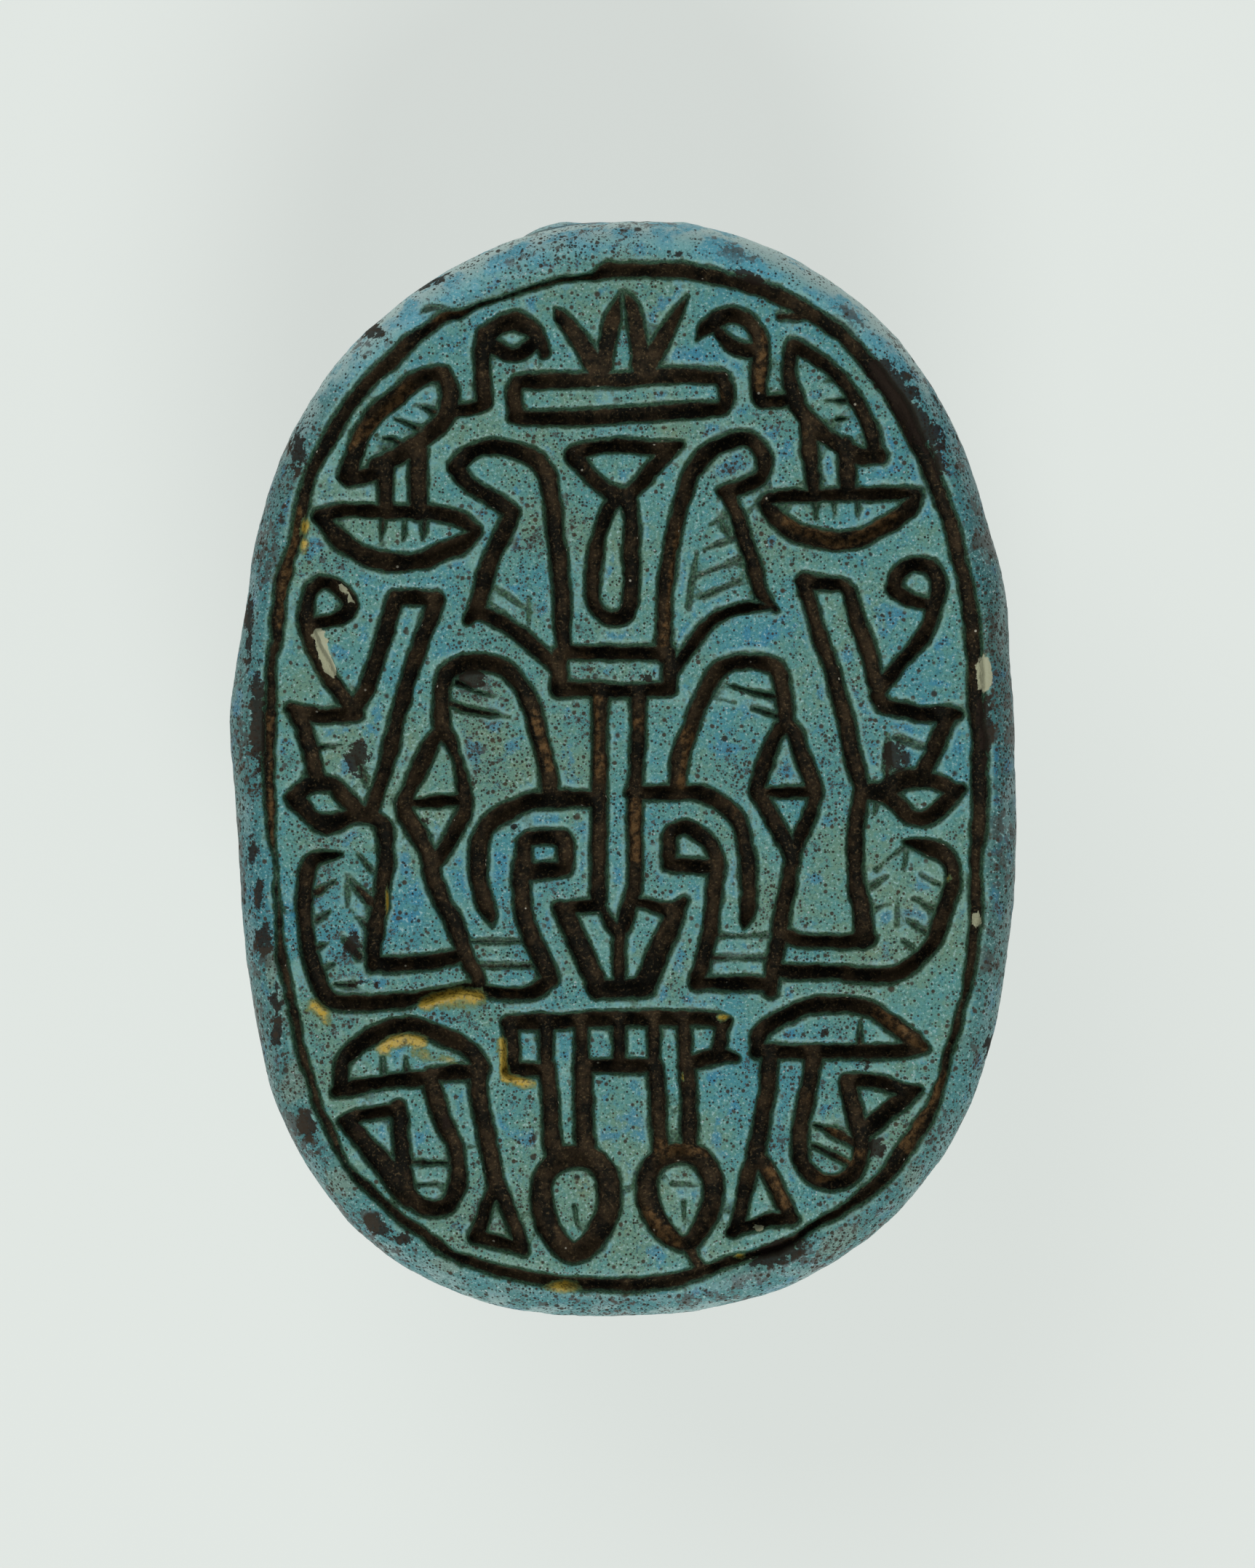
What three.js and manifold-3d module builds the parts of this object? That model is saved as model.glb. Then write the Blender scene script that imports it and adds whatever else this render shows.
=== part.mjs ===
// A scarab amulet: one carved and glazed stone, a beetle on a flat oval base.
// Millimetres, +Z up. The amulet lies on the beetle's back, so the engraved
// base is its top face. The head is at +Y. The origin is under the middle, on
// the small flat spot that the back rests on.
import * as THREE from "three";
import { mergeVertices } from "three/addons/utils/BufferGeometryUtils.js";
import Module from "manifold-3d";

// ---------- driving dimensions ----------
const HALF_WIDTH = 6.38; // widest half width of the oval base
const HEAD_LENGTH = 9.17; // from the widest line to the head end of the base
const TAIL_LENGTH = 8.75; // from the widest line to the tail end
const WIDEST_Y = -0.24; // where the base is widest
const HEAD_POWER = 2.2; // fullness of the oval towards the head
const TAIL_POWER = 2.47; // and towards the tail
const HEIGHT = 7.8; // base face to the flat spot on the back
const RIM_TURN = 0.5; // where the base face starts to roll over into the rim
const BACK_HALF_WIDTH = 5.75; // the beetle's domed back
const BACK_HEAD_LENGTH = 7.4;
const BACK_TAIL_LENGTH = 7.72;
const BACK_CENTRE_Y = -0.95;
const BACK_PLAN_POWER = 2.3;
const BACK_START = 1.5; // depth under the base face where the dome starts
const FLAT_SPOT = 0.27; // share of the dome's plan that is worn flat
const HEAD = { y: 6.75, depth: 2.62, rx: 2.35, ry: 2.22, rd: 2.45, power: 3.0 };
const HOLE_RADIUS = 0.85; // string hole, head to tail
const HOLE_DEPTH = 2.95; // its axis under the base face
const HOLE_SIDES = 16;
const LEG = { radial: 0.46, depth: 0.4, inset: 0.78 };
const BACK_LINE = 0.17; // radius of the lines carved in the back
const ENGRAVED = 0.3; // depth of the device on the base
const BORDER_DEPTH = 0.22;
const BORDER_INSET = 0.65;
const STROKE = 0.26; // usual width of an engraved stroke
const RING = 56; // points round the oval
const GRID = 0.002; // corners sit on this grid

const wasm = await Module();
wasm.setup();

// ---------- small helpers ----------
function solid(geometry) {
  const g = geometry.index ? geometry.toNonIndexed() : geometry.clone();
  const bare = new THREE.BufferGeometry().setAttribute(
    "position",
    g.getAttribute("position"),
  );
  const merged = mergeVertices(bare, 1e-5);
  const vertProperties = merged.attributes.position.array;
  const triVerts = new Uint32Array(merged.index.array);
  const made = new wasm.Manifold(new wasm.Mesh({ numProp: 3, vertProperties, triVerts }));
  if (made.volume() > 0) return made;
  // Built inside out: turn every face round.
  for (let i = 0; i < triVerts.length; i += 3)
    [triVerts[i + 1], triVerts[i + 2]] = [triVerts[i + 2], triVerts[i + 1]];
  return new wasm.Manifold(new wasm.Mesh({ numProp: 3, vertProperties, triVerts }));
}

// The oval's radius in the direction a, about its widest line.
function oval(a, side = HALF_WIDTH, head = HEAD_LENGTH, tail = TAIL_LENGTH, ph = HEAD_POWER, pt = TAIL_POWER) {
  const c = Math.abs(Math.cos(a));
  const s = Math.sin(a);
  const n = s >= 0 ? ph : pt;
  const b = s >= 0 ? head : tail;
  return ((c / side) ** n + (Math.abs(s) / b) ** n) ** (-1 / n);
}

// A closed solid through stacked rings. Each level is a function of the angle
// that returns [x, y, depth]; depth runs down from the base face.
function loft(levels, count = RING) {
  const pts = [];
  for (const level of levels)
    for (let i = 0; i < count; i++) {
      const [x, y, d] = level((i / count) * 2 * Math.PI);
      pts.push(x, y, HEIGHT - d);
    }
  const index = [];
  const rows = levels.length;
  for (let j = 0; j + 1 < rows; j++)
    for (let i = 0; i < count; i++) {
      const a = j * count + i;
      const b = j * count + ((i + 1) % count);
      index.push(a, a + count, b, b, a + count, b + count);
    }
  const cap = (row, up) => {
    const base = row * count;
    for (let i = 1; i + 1 < count; i++)
      if (up) index.push(base, base + i, base + i + 1);
      else index.push(base, base + i + 1, base + i);
  };
  cap(0, true);
  cap(rows - 1, false);
  const g = new THREE.BufferGeometry();
  g.setAttribute("position", new THREE.Float32BufferAttribute(pts, 3));
  g.setIndex(index);
  return solid(g);
}

// ---------- the beetle ----------
// Oval base plate with a rolled rim.
const rim = [
  [0, RIM_TURN],
  [0.07, 0.27],
  [0.22, 0.11],
  [0.48, 0.02],
  [0.85, 0],
  [1.25, 0.05],
  [1.55, 0.18],
  [1.75, 0.45],
];
const plate = loft(
  rim.map(([d, off]) => (a) => {
    const r = oval(a) - off;
    return [r * Math.cos(a), WIDEST_Y + r * Math.sin(a), d];
  }),
);

// Domed back, worn flat where it rests.
const backOval = (a) =>
  oval(a, BACK_HALF_WIDTH, BACK_HEAD_LENGTH, BACK_TAIL_LENGTH, BACK_PLAN_POWER, BACK_PLAN_POWER);
const fullness = (s) => (1 - Math.min(1, s) ** 2.2) ** (1 / 2.3);
const BACK_RISE = (HEIGHT - BACK_START) / fullness(FLAT_SPOT);
const backDepth = (s) => Math.min(HEIGHT, BACK_START + BACK_RISE * fullness(s));
const shares = [1, 0.992, 0.965, 0.91, 0.83, 0.72, 0.59, 0.44, FLAT_SPOT];
const back = loft([
  (a) => [backOval(a) * Math.cos(a), BACK_CENTRE_Y + backOval(a) * Math.sin(a), 0.9],
  ...shares.map((s) => (a) => {
    const r = backOval(a) * s;
    return [r * Math.cos(a), BACK_CENTRE_Y + r * Math.sin(a), backDepth(s)];
  }),
]);
// The depth of the back under the base face, over the point x, y.
function backAt(x, y) {
  const a = Math.atan2(y - BACK_CENTRE_Y, x);
  return backDepth(Math.hypot(x, y - BACK_CENTRE_Y) / backOval(a));
}

// Head: a rounded block in front of the back.
function headBlock() {
  const g = new THREE.SphereGeometry(1, 20, 11);
  const p = g.getAttribute("position");
  for (let i = 0; i < p.count; i++) {
    const v = [p.getX(i), p.getY(i), p.getZ(i)];
    const n = HEAD.power;
    const k = (Math.abs(v[0]) ** n + Math.abs(v[1]) ** n + Math.abs(v[2]) ** n) ** (-1 / n);
    p.setXYZ(
      i,
      v[0] * k * HEAD.rx,
      HEAD.y + v[1] * k * HEAD.ry,
      HEIGHT - HEAD.depth + v[2] * k * HEAD.rd,
    );
  }
  return solid(g);
}

// One folded leg along the flank, from angle a0 to a1, rising from depth d0 to d1.
// It is fullest at the thigh and thins to its ends.
function leg(side, a0, a1, d0, d1) {
  const steps = 8;
  const levels = [];
  for (let i = 0; i <= steps; i++) {
    const t = i / steps;
    const a = THREE.MathUtils.degToRad(a0 + (a1 - a0) * t);
    const r = oval(a) - LEG.inset;
    const k = 0.35 + 0.65 * Math.sin(Math.PI * Math.min(1, 0.12 + t * 0.84)) ** 0.6;
    levels.push((b) => {
      const out = r + LEG.radial * k * Math.cos(b);
      return [
        side * out * Math.cos(a),
        WIDEST_Y + out * Math.sin(a),
        d0 + (d1 - d0) * t + LEG.depth * k * Math.sin(b),
      ];
    });
  }
  return loft(levels, 6);
}

const legs = [];
for (const side of [-1, 1]) {
  legs.push(leg(side, 30, 66, 3.1, 2.25)); // fore leg, reaching beside the head
  legs.push(leg(side, 33, -20, 3.7, 2.35)); // middle leg
  legs.push(leg(side, 4, -66, 3.95, 2.3)); // hind leg
}

// A line carved in the back along a path over it.
function backLine(path) {
  const pts = path.map(([x, y]) => new THREE.Vector3(x, y, HEIGHT - backAt(x, y)));
  const section = new THREE.Shape();
  for (let i = 0; i < 6; i++) {
    const a = (i / 6) * 2 * Math.PI;
    const x = BACK_LINE * Math.cos(a);
    const y = BACK_LINE * Math.sin(a);
    i ? section.lineTo(x, y) : section.moveTo(x, y);
  }
  return solid(
    new THREE.ExtrudeGeometry(section, {
      steps: 14,
      bevelEnabled: false,
      extrudePath: new THREE.CatmullRomCurve3(pts),
    }),
  );
}
const span = (n, f) => Array.from({ length: n + 1 }, (_, i) => f(i / n));
const wingLine = backLine(span(10, (t) => [(t - 0.5) * 10.9, 2.3 + 0.9 * (2 * t - 1) ** 2]));
const seam = backLine(span(10, (t) => [0, 2.3 - t * 10.4]));

const hole = solid(
  new THREE.CylinderGeometry(HOLE_RADIUS, HOLE_RADIUS, 24, HOLE_SIDES).translate(
    0,
    0,
    HEIGHT - HOLE_DEPTH,
  ),
);

// ---------- the engraved device ----------
const cutters = [];

// The flat outline of a stroke of width w along pts, mitred at its corners.
function channel(pts, w, depth, closed = false) {
  const n = pts.length;
  const left = [];
  const right = [];
  for (let i = 0; i < n; i++) {
    const p = pts[i];
    const before = pts[closed ? (i + n - 1) % n : Math.max(i - 1, 0)];
    const after = pts[closed ? (i + 1) % n : Math.min(i + 1, n - 1)];
    const u = new THREE.Vector2(p[0] - before[0], p[1] - before[1]).normalize();
    const v = new THREE.Vector2(after[0] - p[0], after[1] - p[1]).normalize();
    if (!closed && i === 0) u.copy(v);
    if (!closed && i === n - 1) v.copy(u);
    const m = new THREE.Vector2(-(u.y + v.y), u.x + v.x).normalize();
    const k = Math.min(1.6, 1 / Math.max(0.2, m.x * -u.y + m.y * u.x)) * (w / 2);
    left.push([p[0] + m.x * k, p[1] + m.y * k]);
    right.push([p[0] - m.x * k, p[1] - m.y * k]);
  }
  const toVec = (q) => q.map(([x, y]) => new THREE.Vector2(x, y));
  let shape;
  if (closed) {
    const area = THREE.ShapeUtils.area(toVec(left));
    const outer = Math.abs(area) > Math.abs(THREE.ShapeUtils.area(toVec(right))) ? left : right;
    const inner = outer === left ? right : left;
    if (area < 0) {
      outer.reverse();
      inner.reverse();
    }
    shape = new THREE.Shape(toVec(outer));
    shape.holes.push(new THREE.Path(toVec(inner)));
  } else {
    // Chamfered ends, a little past the last points.
    const end = (a, b, l, r) => {
      const e = new THREE.Vector2(b[0] - a[0], b[1] - a[1]).normalize().multiplyScalar(w * 0.42);
      const mix = (p, q, t) => [p[0] + (q[0] - p[0]) * t + e.x, p[1] + (q[1] - p[1]) * t + e.y];
      return [mix(l, r, 0.25), mix(l, r, 0.75)];
    };
    const tail = end(pts[n - 2], pts[n - 1], left[n - 1], right[n - 1]);
    const head = end(pts[1], pts[0], right[0], left[0]);
    shape = new THREE.Shape(toVec([...left, ...tail, ...right.reverse(), ...head]));
  }
  const g = new THREE.ExtrudeGeometry(shape, { depth: depth + 0.5, steps: 1, bevelEnabled: false });
  return solid(g.translate(0, 0, HEIGHT - depth));
}
const cut = (side, pts, w = STROKE, closed = false) =>
  cutters.push(channel(pts.map(([x, y]) => [side * x, y]), w, ENGRAVED, closed));

// A bowed line from p to q that stands off its chord by rise.
function bow(p, q, rise, n = 5) {
  const len = Math.hypot(q[0] - p[0], q[1] - p[1]);
  const nx = -(q[1] - p[1]) / len;
  const ny = (q[0] - p[0]) / len;
  return span(n, (t) => {
    const h = 4 * rise * t * (1 - t);
    return [p[0] + (q[0] - p[0]) * t + nx * h, p[1] + (q[1] - p[1]) * t + ny * h];
  });
}
const join = (...runs) => runs.flatMap((run, i) => (i ? run.slice(1) : run));

// Border line that follows the rim.
cutters.push(
  channel(
    span(43, (t) => {
      const a = t * (43 / 44) * 2 * Math.PI;
      const r = oval(a) - BORDER_INSET;
      return [r * Math.cos(a), WIDEST_Y + r * Math.sin(a)];
    }),
    0.22,
    BORDER_DEPTH,
    true,
  ),
);

// Three-leaved plant over a bar, on the axis.
for (const s of [-1, 1]) {
  cut(s, bow([0.3, 6.6], [0.02, 7.72], 0.05, 3), 0.22);
  cut(s, bow([0.44, 6.62], [1.04, 7.5], -0.05, 2), 0.22);
}
cut(1, [[-1.8, 6.3], [1.7, 6.39], [1.7, 5.78], [-1.8, 5.68]], 0.28, true);

// A standing bird that faces the plant.
function bird(s, { beak, crown, neck, breast, tail, legs, foot }) {
  cut(s, join(bow(beak, crown, 0.1, 2), bow(crown, [neck, crown[1] - 0.45], 0.12, 2), bow([neck, crown[1] - 0.45], [neck - 0.03, breast[1] - 0.6], 0, 1)), 0.28);
  cut(s, bow([beak[0] + 0.32, beak[1] + 0.04], [neck - 0.1, crown[1] - 0.55], 0.03, 1));
  cut(s, [[neck, breast[1] - 0.58], [breast[0] - 0.05, breast[1] - 0.58]]);
  cut(s, bow(breast, tail, 0.3, 5));
  cut(s, join(bow(breast, [breast[0] + 0.05, breast[1] - 0.7], -0.03, 1), bow([breast[0] + 0.05, breast[1] - 0.7], [tail[0] - 0.35, tail[1] + 0.12], -0.06, 2), [[tail[0] - 0.35, tail[1] + 0.12], tail]));
  for (const x of legs) cut(s, [[x, tail[1] + 0.2], [x + 0.02, foot]], 0.28);
}
bird(-1, { beak: [1.26, 6.78], crown: [1.75, 7.33], neck: 2.3, breast: [2.94, 6.42], tail: [4.5, 4.68], legs: [3.38, 3.95], foot: 4.3 });
bird(1, { beak: [1.25, 7.0], crown: [1.79, 7.41], neck: 2.25, breast: [2.76, 6.75], tail: [4.1, 5.08], legs: [3.05, 3.58], foot: 4.6 });

// The basket it stands on.
function basket(s, inner, outer, deep) {
  cut(s, bow(inner, outer, 0.16, 3));
  cut(s, bow(inner, outer, -deep, 7), 0.3);
}
basket(-1, [2.42, 3.84], [4.93, 4.08], 0.63);
basket(1, [2.28, 4.34], [4.76, 4.5], 0.8);

// Vase with a long foot, on the axis.
cut(1, bow([-0.86, 5.18], [0.89, 5.26], 0.02, 1));
cut(1, [[-0.8, 5.05], [-0.1, 4.45]]);
cut(1, [[0.74, 5.15], [0.12, 4.47]]);
cut(1, join(bow([-0.25, 4.3], [-0.5, 2.55], -0.08, 3), bow([-0.5, 2.55], [0.07, 2.55], -0.2, 3), bow([0.07, 2.55], [0.1, 4.35], 0, 1)));

// Tall crook with a curled head, beside the vase.
function crook(s, { tip, crown, heel, inner, foot, fold }) {
  cut(s, join(bow(foot, heel, -0.05, 2), bow(heel, crown, -0.1, 2), bow(crown, tip, -0.1, 2)));
  cut(s, join([tip, fold], bow(fold, inner, 0.04, 2)));
  cut(s, bow(inner, foot, 0.08, 2));
}
crook(-1, { tip: [2.76, 4.88], crown: [2.1, 5.26], heel: [1.28, 4.75], inner: [2.46, 2.44], foot: [1.03, 1.72], fold: [1.88, 4.2] });
crook(1, { tip: [2.33, 4.93], crown: [1.88, 5.38], heel: [1.06, 4.72], inner: [2.36, 2.6], foot: [0.7, 1.7], fold: [1.7, 4.46] });

// Oblong under the vase, and the double stem that hangs from it.
cut(1, [[-1.04, 1.88], [0.78, 1.87], [0.78, 1.22], [-1.04, 1.22]], STROKE, true);
cut(1, [[-0.41, 1.22], [-0.43, -2.1]], 0.27);
cut(1, bow([0.23, 1.22], [0.12, -2.25], -0.03, 2), 0.23);

// Barbed point at the foot of the stem.
cut(1, [[-0.43, -2.22], [-1.0, -2.28], [-0.88, -2.62], [-0.45, -3.6], [0.33, -3.6], [0.78, -2.6], [0.92, -2.28], [0.12, -2.28]], 0.3, true);
cut(1, [[-0.36, -2.3], [-0.07, -2.8], [-0.07, -3.55]], 0.2);
cut(1, [[0.1, -2.3], [-0.05, -2.8]], 0.18);

// Tall arch with a pointed pendant outside it.
function arch(s, { inner, crown, outer, spring }) {
  cut(s, join(bow(inner, [inner[0] + 0.36, spring], 0.04, 2), bow([inner[0] + 0.36, spring], crown, 0.14, 3), bow(crown, outer, 0.2, 3)), 0.28);
}
arch(-1, { inner: [1.21, -0.35], crown: [2.25, 1.7], outer: [2.98, 0.85], spring: 1.0 });
arch(1, { inner: [0.9, -0.3], crown: [2.05, 1.7], outer: [2.63, 0.8], spring: 1.0 });
function pendant(s, { top, left, right, tip }) {
  cut(s, [top[0], left], 0.24);
  cut(s, [top[1], right], 0.24);
  cut(s, [left, right], 0.22);
  cut(s, [[left[0] + 0.03, left[1] - 0.12], tip], 0.24);
  cut(s, [[right[0] - 0.03, right[1] - 0.12], tip], 0.24);
}
pendant(-1, { top: [[2.8, 0.45], [3.08, 0.5]], left: [2.6, -0.58], right: [3.56, -0.58], tip: [3.08, -1.5] });
pendant(1, { top: [[2.62, 0.72], [2.68, 0.72]], left: [2.22, -0.42], right: [3.12, -0.42], tip: [2.76, -1.42] });

// Inner arch that springs from the stem, with a small loop inside it.
function innerArch(s, { start, top, shoulder, foot }) {
  cut(s, join([start, top], bow(top, shoulder, 0.16, 4), bow(shoulder, foot, 0.08, 2)));
}
innerArch(-1, { start: [0.47, -0.53], top: [1.2, -0.5], shoulder: [2.35, -1.45], foot: [2.13, -2.55] });
innerArch(1, { start: [0.25, -0.41], top: [1.05, -0.39], shoulder: [2.0, -1.45], foot: [1.93, -2.65] });
cut(-1, [[0.94, -1.16], [1.65, -1.18], [1.66, -1.72], [0.94, -1.72]], 0.25, true);
cut(1, [[0.72, -1.1], [0.98, -0.93], [1.56, -1.6], [0.72, -1.6]], 0.25, true);

// Long strokes under the loop and the pendant, tied by cross bars.
function train(s, { loop, heel, tip, outer, bars }) {
  cut(s, join(bow(loop, heel, 0.06, 3)));
  cut(s, bow(tip, outer, -0.04, 2), 0.24);
  for (const [x0, x1, y, w] of bars) cut(s, [[x0, y], [x1, y]], w);
}
train(-1, { loop: [1.66, -1.75], heel: [1.2, -3.45], tip: [3.08, -1.5], outer: [2.4, -3.52], bars: [[1.68, 2.5, -2.85, 0.12], [1.6, 2.4, -3.22, 0.12], [1.3, 2.35, -3.66, 0.24]] });
train(1, { loop: [1.54, -1.65], heel: [1.2, -3.45], tip: [2.76, -1.45], outer: [2.41, -3.6], bars: [[1.55, 2.4, -2.76, 0.12], [1.48, 2.3, -3.12, 0.12], [1.28, 2.35, -3.54, 0.23]] });

// Tall pointed shape and small eye-shaped loop near the rim.
function tall(s, { leg, top, side, meet }) {
  cut(s, join([leg, top[0]], bow(top[0], top[1], 0.05, 1), [top[1], side]));
  cut(s, [side, meet]);
}
tall(-1, { leg: [3.45, 1.62], top: [[3.19, 2.7], [3.78, 2.72]], side: [4.1, 1.72], meet: [4.4, 0.95] });
tall(1, { leg: [3.36, 1.68], top: [[2.95, 2.98], [3.66, 2.88]], side: [4.02, 1.68], meet: [4.14, 1.15] });
function loopEye(s, { x, y, r, tail }) {
  const ring = span(7, (t) => [x + r * Math.cos(t * 1.75 * Math.PI), y + r * Math.sin(t * 1.75 * Math.PI)]);
  cut(s, ring, 0.24, true);
  cut(s, [[x + r * 0.9, y - r * 0.2], tail[0], tail[1]]);
}
loopEye(-1, { x: 4.82, y: 2.67, r: 0.35, tail: [[5.08, 1.95], [4.43, 0.95]] });
loopEye(1, { x: 4.77, y: 2.98, r: 0.36, tail: [[4.9, 2.08], [4.16, 1.22]] });

// Arm with a small lozenge, between the tall shape and the rim.
function arm(s, { root, reach, elbow, knot, low }) {
  cut(s, [root, reach], 0.27);
  cut(s, [[reach[0] - 0.12, reach[1] - 0.18], elbow, knot], 0.28);
  cut(s, [knot, [elbow[0] + 0.02, elbow[1] - 0.02], low[0], low[1]], 0.26, true);
}
arm(-1, { root: [4.4, 0.86], reach: [5.38, 0.92], elbow: [4.98, -0.24], knot: [4.18, -0.76], low: [[5.4, -0.5], [4.88, -0.88]] });
arm(1, { root: [4.15, 0.98], reach: [5.32, 0.85], elbow: [4.98, -0.2], knot: [4.2, -0.46], low: [[5.38, -0.42], [4.86, -0.86]] });

// Long stem that bends into a foot bracket.
function bracket(s, { top, knot, knee, toe, end }) {
  cut(s, join([top, knot], bow(knot, knee, -0.05, 2), bow(knee, toe, 0.04, 2), [toe, end]), 0.27);
}
bracket(-1, { top: [3.4, 1.6], knot: [4.12, -0.76], knee: [3.9, -1.9], toe: [4.06, -3.18], end: [2.7, -3.1] });
bracket(1, { top: [3.4, 1.62], knot: [3.87, -0.5], knee: [3.8, -1.9], toe: [3.9, -2.84], end: [2.7, -2.8] });

// Outer wing that wraps round the bracket.
function wing(s, { tip, shoulder, hip, toe, end }) {
  cut(s, join(bow(tip, shoulder, -0.08, 2), bow(shoulder, hip, -0.12, 3), bow(hip, toe, -0.06, 1), bow(toe, end, -0.04, 2)), 0.24);
}
wing(-1, { tip: [4.62, -1.43], shoulder: [5.16, -1.65], hip: [4.98, -3.5], toe: [4.45, -3.86], end: [2.45, -3.62] });
wing(1, { tip: [4.62, -1.25], shoulder: [5.36, -1.68], hip: [4.9, -3.02], toe: [4.35, -3.4], end: [2.5, -3.33] });

// Domed cap over a leg and a looped leg.
function cap(s, { inner, outer, rise, floor }) {
  cut(s, bow(inner, outer, rise, 6), 0.28);
  cut(s, floor, 0.26);
}
cap(-1, { inner: [2.33, -4.82], outer: [4.64, -5.18], rise: 0.8, floor: [[2.36, -4.98], [4.64, -5.26]] });
cap(1, { inner: [2.16, -4.36], outer: [4.84, -4.58], rise: 0.62, floor: [[2.18, -4.64], [4.8, -4.62]] });
function foot(s, { hip, ankle, heel, toe }) {
  cut(s, [hip, ankle], 0.28);
  cut(s, [ankle, heel, toe], 0.24, true);
}
foot(-1, { hip: [2.42, -5.1], ankle: [2.12, -6.82], heel: [1.72, -7.8], toe: [2.36, -7.66] });
foot(1, { hip: [2.38, -4.75], ankle: [2.18, -6.38], heel: [1.86, -7.52], toe: [2.66, -7.38] });
function loopedLeg(s, { hip, knee, sole, back, beak, under }) {
  cut(s, join([hip, knee], bow(knee, sole, -0.12, 3), bow(sole, under, -0.08, 2), [under, back]), 0.28);
  cut(s, [back, beak, under], 0.25);
}
loopedLeg(-1, { hip: [3.12, -5.15], knee: [2.72, -6.5], sole: [3.1, -7.2], back: [3.66, -5.6], beak: [4.55, -5.73], under: [3.6, -6.85] });
loopedLeg(1, { hip: [3.08, -4.8], knee: [2.86, -6.2], sole: [3.3, -6.76], back: [3.68, -5.15], beak: [4.66, -5.3], under: [3.86, -5.92] });

// Comb of teeth on the axis, and two long-stemmed drops under it.
cut(1, [[-1.83, -4.18], [1.59, -4.12], [1.6, -4.74], [0.99, -4.83]], 0.25);
cut(1, [[-1.83, -4.18], [-1.83, -4.94], [-1.27, -4.95]], 0.25);
cut(1, [[-0.69, -4.88], [0.49, -4.88]], 0.25);
cut(1, [[-0.08, -4.15], [-0.08, -4.85]], 0.2);
for (const x of [-1.25, -0.68, 0.53, 1.03]) cut(1, [[x, -4.15], [x + 0.04, -6.25]], 0.27);
for (const [x, y] of [[-0.8, -7.08], [0.93, -7.0]])
  cut(
    1,
    span(10, (t) => {
      const a = (t * 10) / 11 * 2 * Math.PI + 0.3;
      return [x + 0.55 * Math.cos(a) * (1 + 0.12 * Math.sin(a)), y + 0.76 * Math.sin(a)];
    }),
    0.34,
    true,
  );

// ---------- the one solid ----------
let body = wasm.Manifold.union([plate, back, headBlock(), ...legs]);
body = body.subtract(wasm.Manifold.union([hole, wingLine, seam]));
body = body.subtract(wasm.Manifold.union(cutters));

const mesh = body.getMesh();
const raw = new THREE.BufferGeometry();
raw.setAttribute("position", new THREE.BufferAttribute(new Float32Array(mesh.vertProperties), 3));
raw.setIndex(new THREE.BufferAttribute(new Uint32Array(mesh.triVerts), 1));
raw.computeBoundingBox();
const box = raw.boundingBox;
raw.translate(-(box.min.x + box.max.x) / 2, -(box.min.y + box.max.y) / 2, -box.min.z);

// Corners are kept on a fine grid, and faces that fold flat onto it are dropped.
function onGrid(g, grid) {
  const p = g.getAttribute("position");
  const seen = new Map();
  const points = [];
  const number = [];
  for (let i = 0; i < p.count; i++) {
    const q = [p.getX(i), p.getY(i), p.getZ(i)].map((v) => Math.round(v / grid));
    const key = q.join();
    if (!seen.has(key)) {
      seen.set(key, points.length / 3);
      points.push(...q.map((v) => v * grid));
    }
    number.push(seen.get(key));
  }
  const faces = new Map();
  const idx = g.index.array;
  for (let i = 0; i < idx.length; i += 3) {
    const f = [number[idx[i]], number[idx[i + 1]], number[idx[i + 2]]];
    if (f[0] === f[1] || f[1] === f[2] || f[2] === f[0]) continue;
    const key = [...f].sort((a, b) => a - b).join();
    if (faces.has(key)) faces.delete(key);
    else faces.set(key, f);
  }
  const out = new THREE.BufferGeometry();
  out.setAttribute("position", new THREE.Float32BufferAttribute(points, 3));
  out.setIndex([...faces.values()].flat());
  return out;
}
const geometry = onGrid(raw, GRID);

const flat = geometry.toNonIndexed();
flat.computeVertexNormals();
const scarab = new THREE.Mesh(
  flat,
  new THREE.MeshStandardMaterial({ color: 0x4f8f94, roughness: 0.5, metalness: 0 }),
);
scarab.name = "scarab";

const group = new THREE.Group();
group.add(scarab);
export default group;
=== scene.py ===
"""Looks of the scarab amulet: glazed steatite, flat base up, lying on its domed back.

Lengths below are millimetres (x across, y towards the beetle's head, d down from the base plane)
and are turned into metres when a mesh is made.
"""
import math

import bmesh
import bpy
import numpy as np
from mathutils import Matrix, Vector


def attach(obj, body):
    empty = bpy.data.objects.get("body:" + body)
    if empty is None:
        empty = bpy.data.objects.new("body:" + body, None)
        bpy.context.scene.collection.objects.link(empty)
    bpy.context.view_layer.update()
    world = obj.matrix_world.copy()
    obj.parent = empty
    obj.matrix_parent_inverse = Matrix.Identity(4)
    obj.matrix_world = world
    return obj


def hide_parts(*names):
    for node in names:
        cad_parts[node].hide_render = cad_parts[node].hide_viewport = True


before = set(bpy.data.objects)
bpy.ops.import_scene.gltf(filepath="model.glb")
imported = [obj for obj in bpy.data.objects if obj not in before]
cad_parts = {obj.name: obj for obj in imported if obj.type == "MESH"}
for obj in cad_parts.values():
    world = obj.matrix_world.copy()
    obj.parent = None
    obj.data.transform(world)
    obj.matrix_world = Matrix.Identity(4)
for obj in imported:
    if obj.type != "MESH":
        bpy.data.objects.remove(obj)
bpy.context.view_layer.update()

MM = 0.001
HEIGHT = 7.8                      # base plane above the floor
Y_SHIFT = 0.01                    # from the measured centre to the part's own origin
RIM_DEPTH = 0.85                  # where the outline is widest

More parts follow.
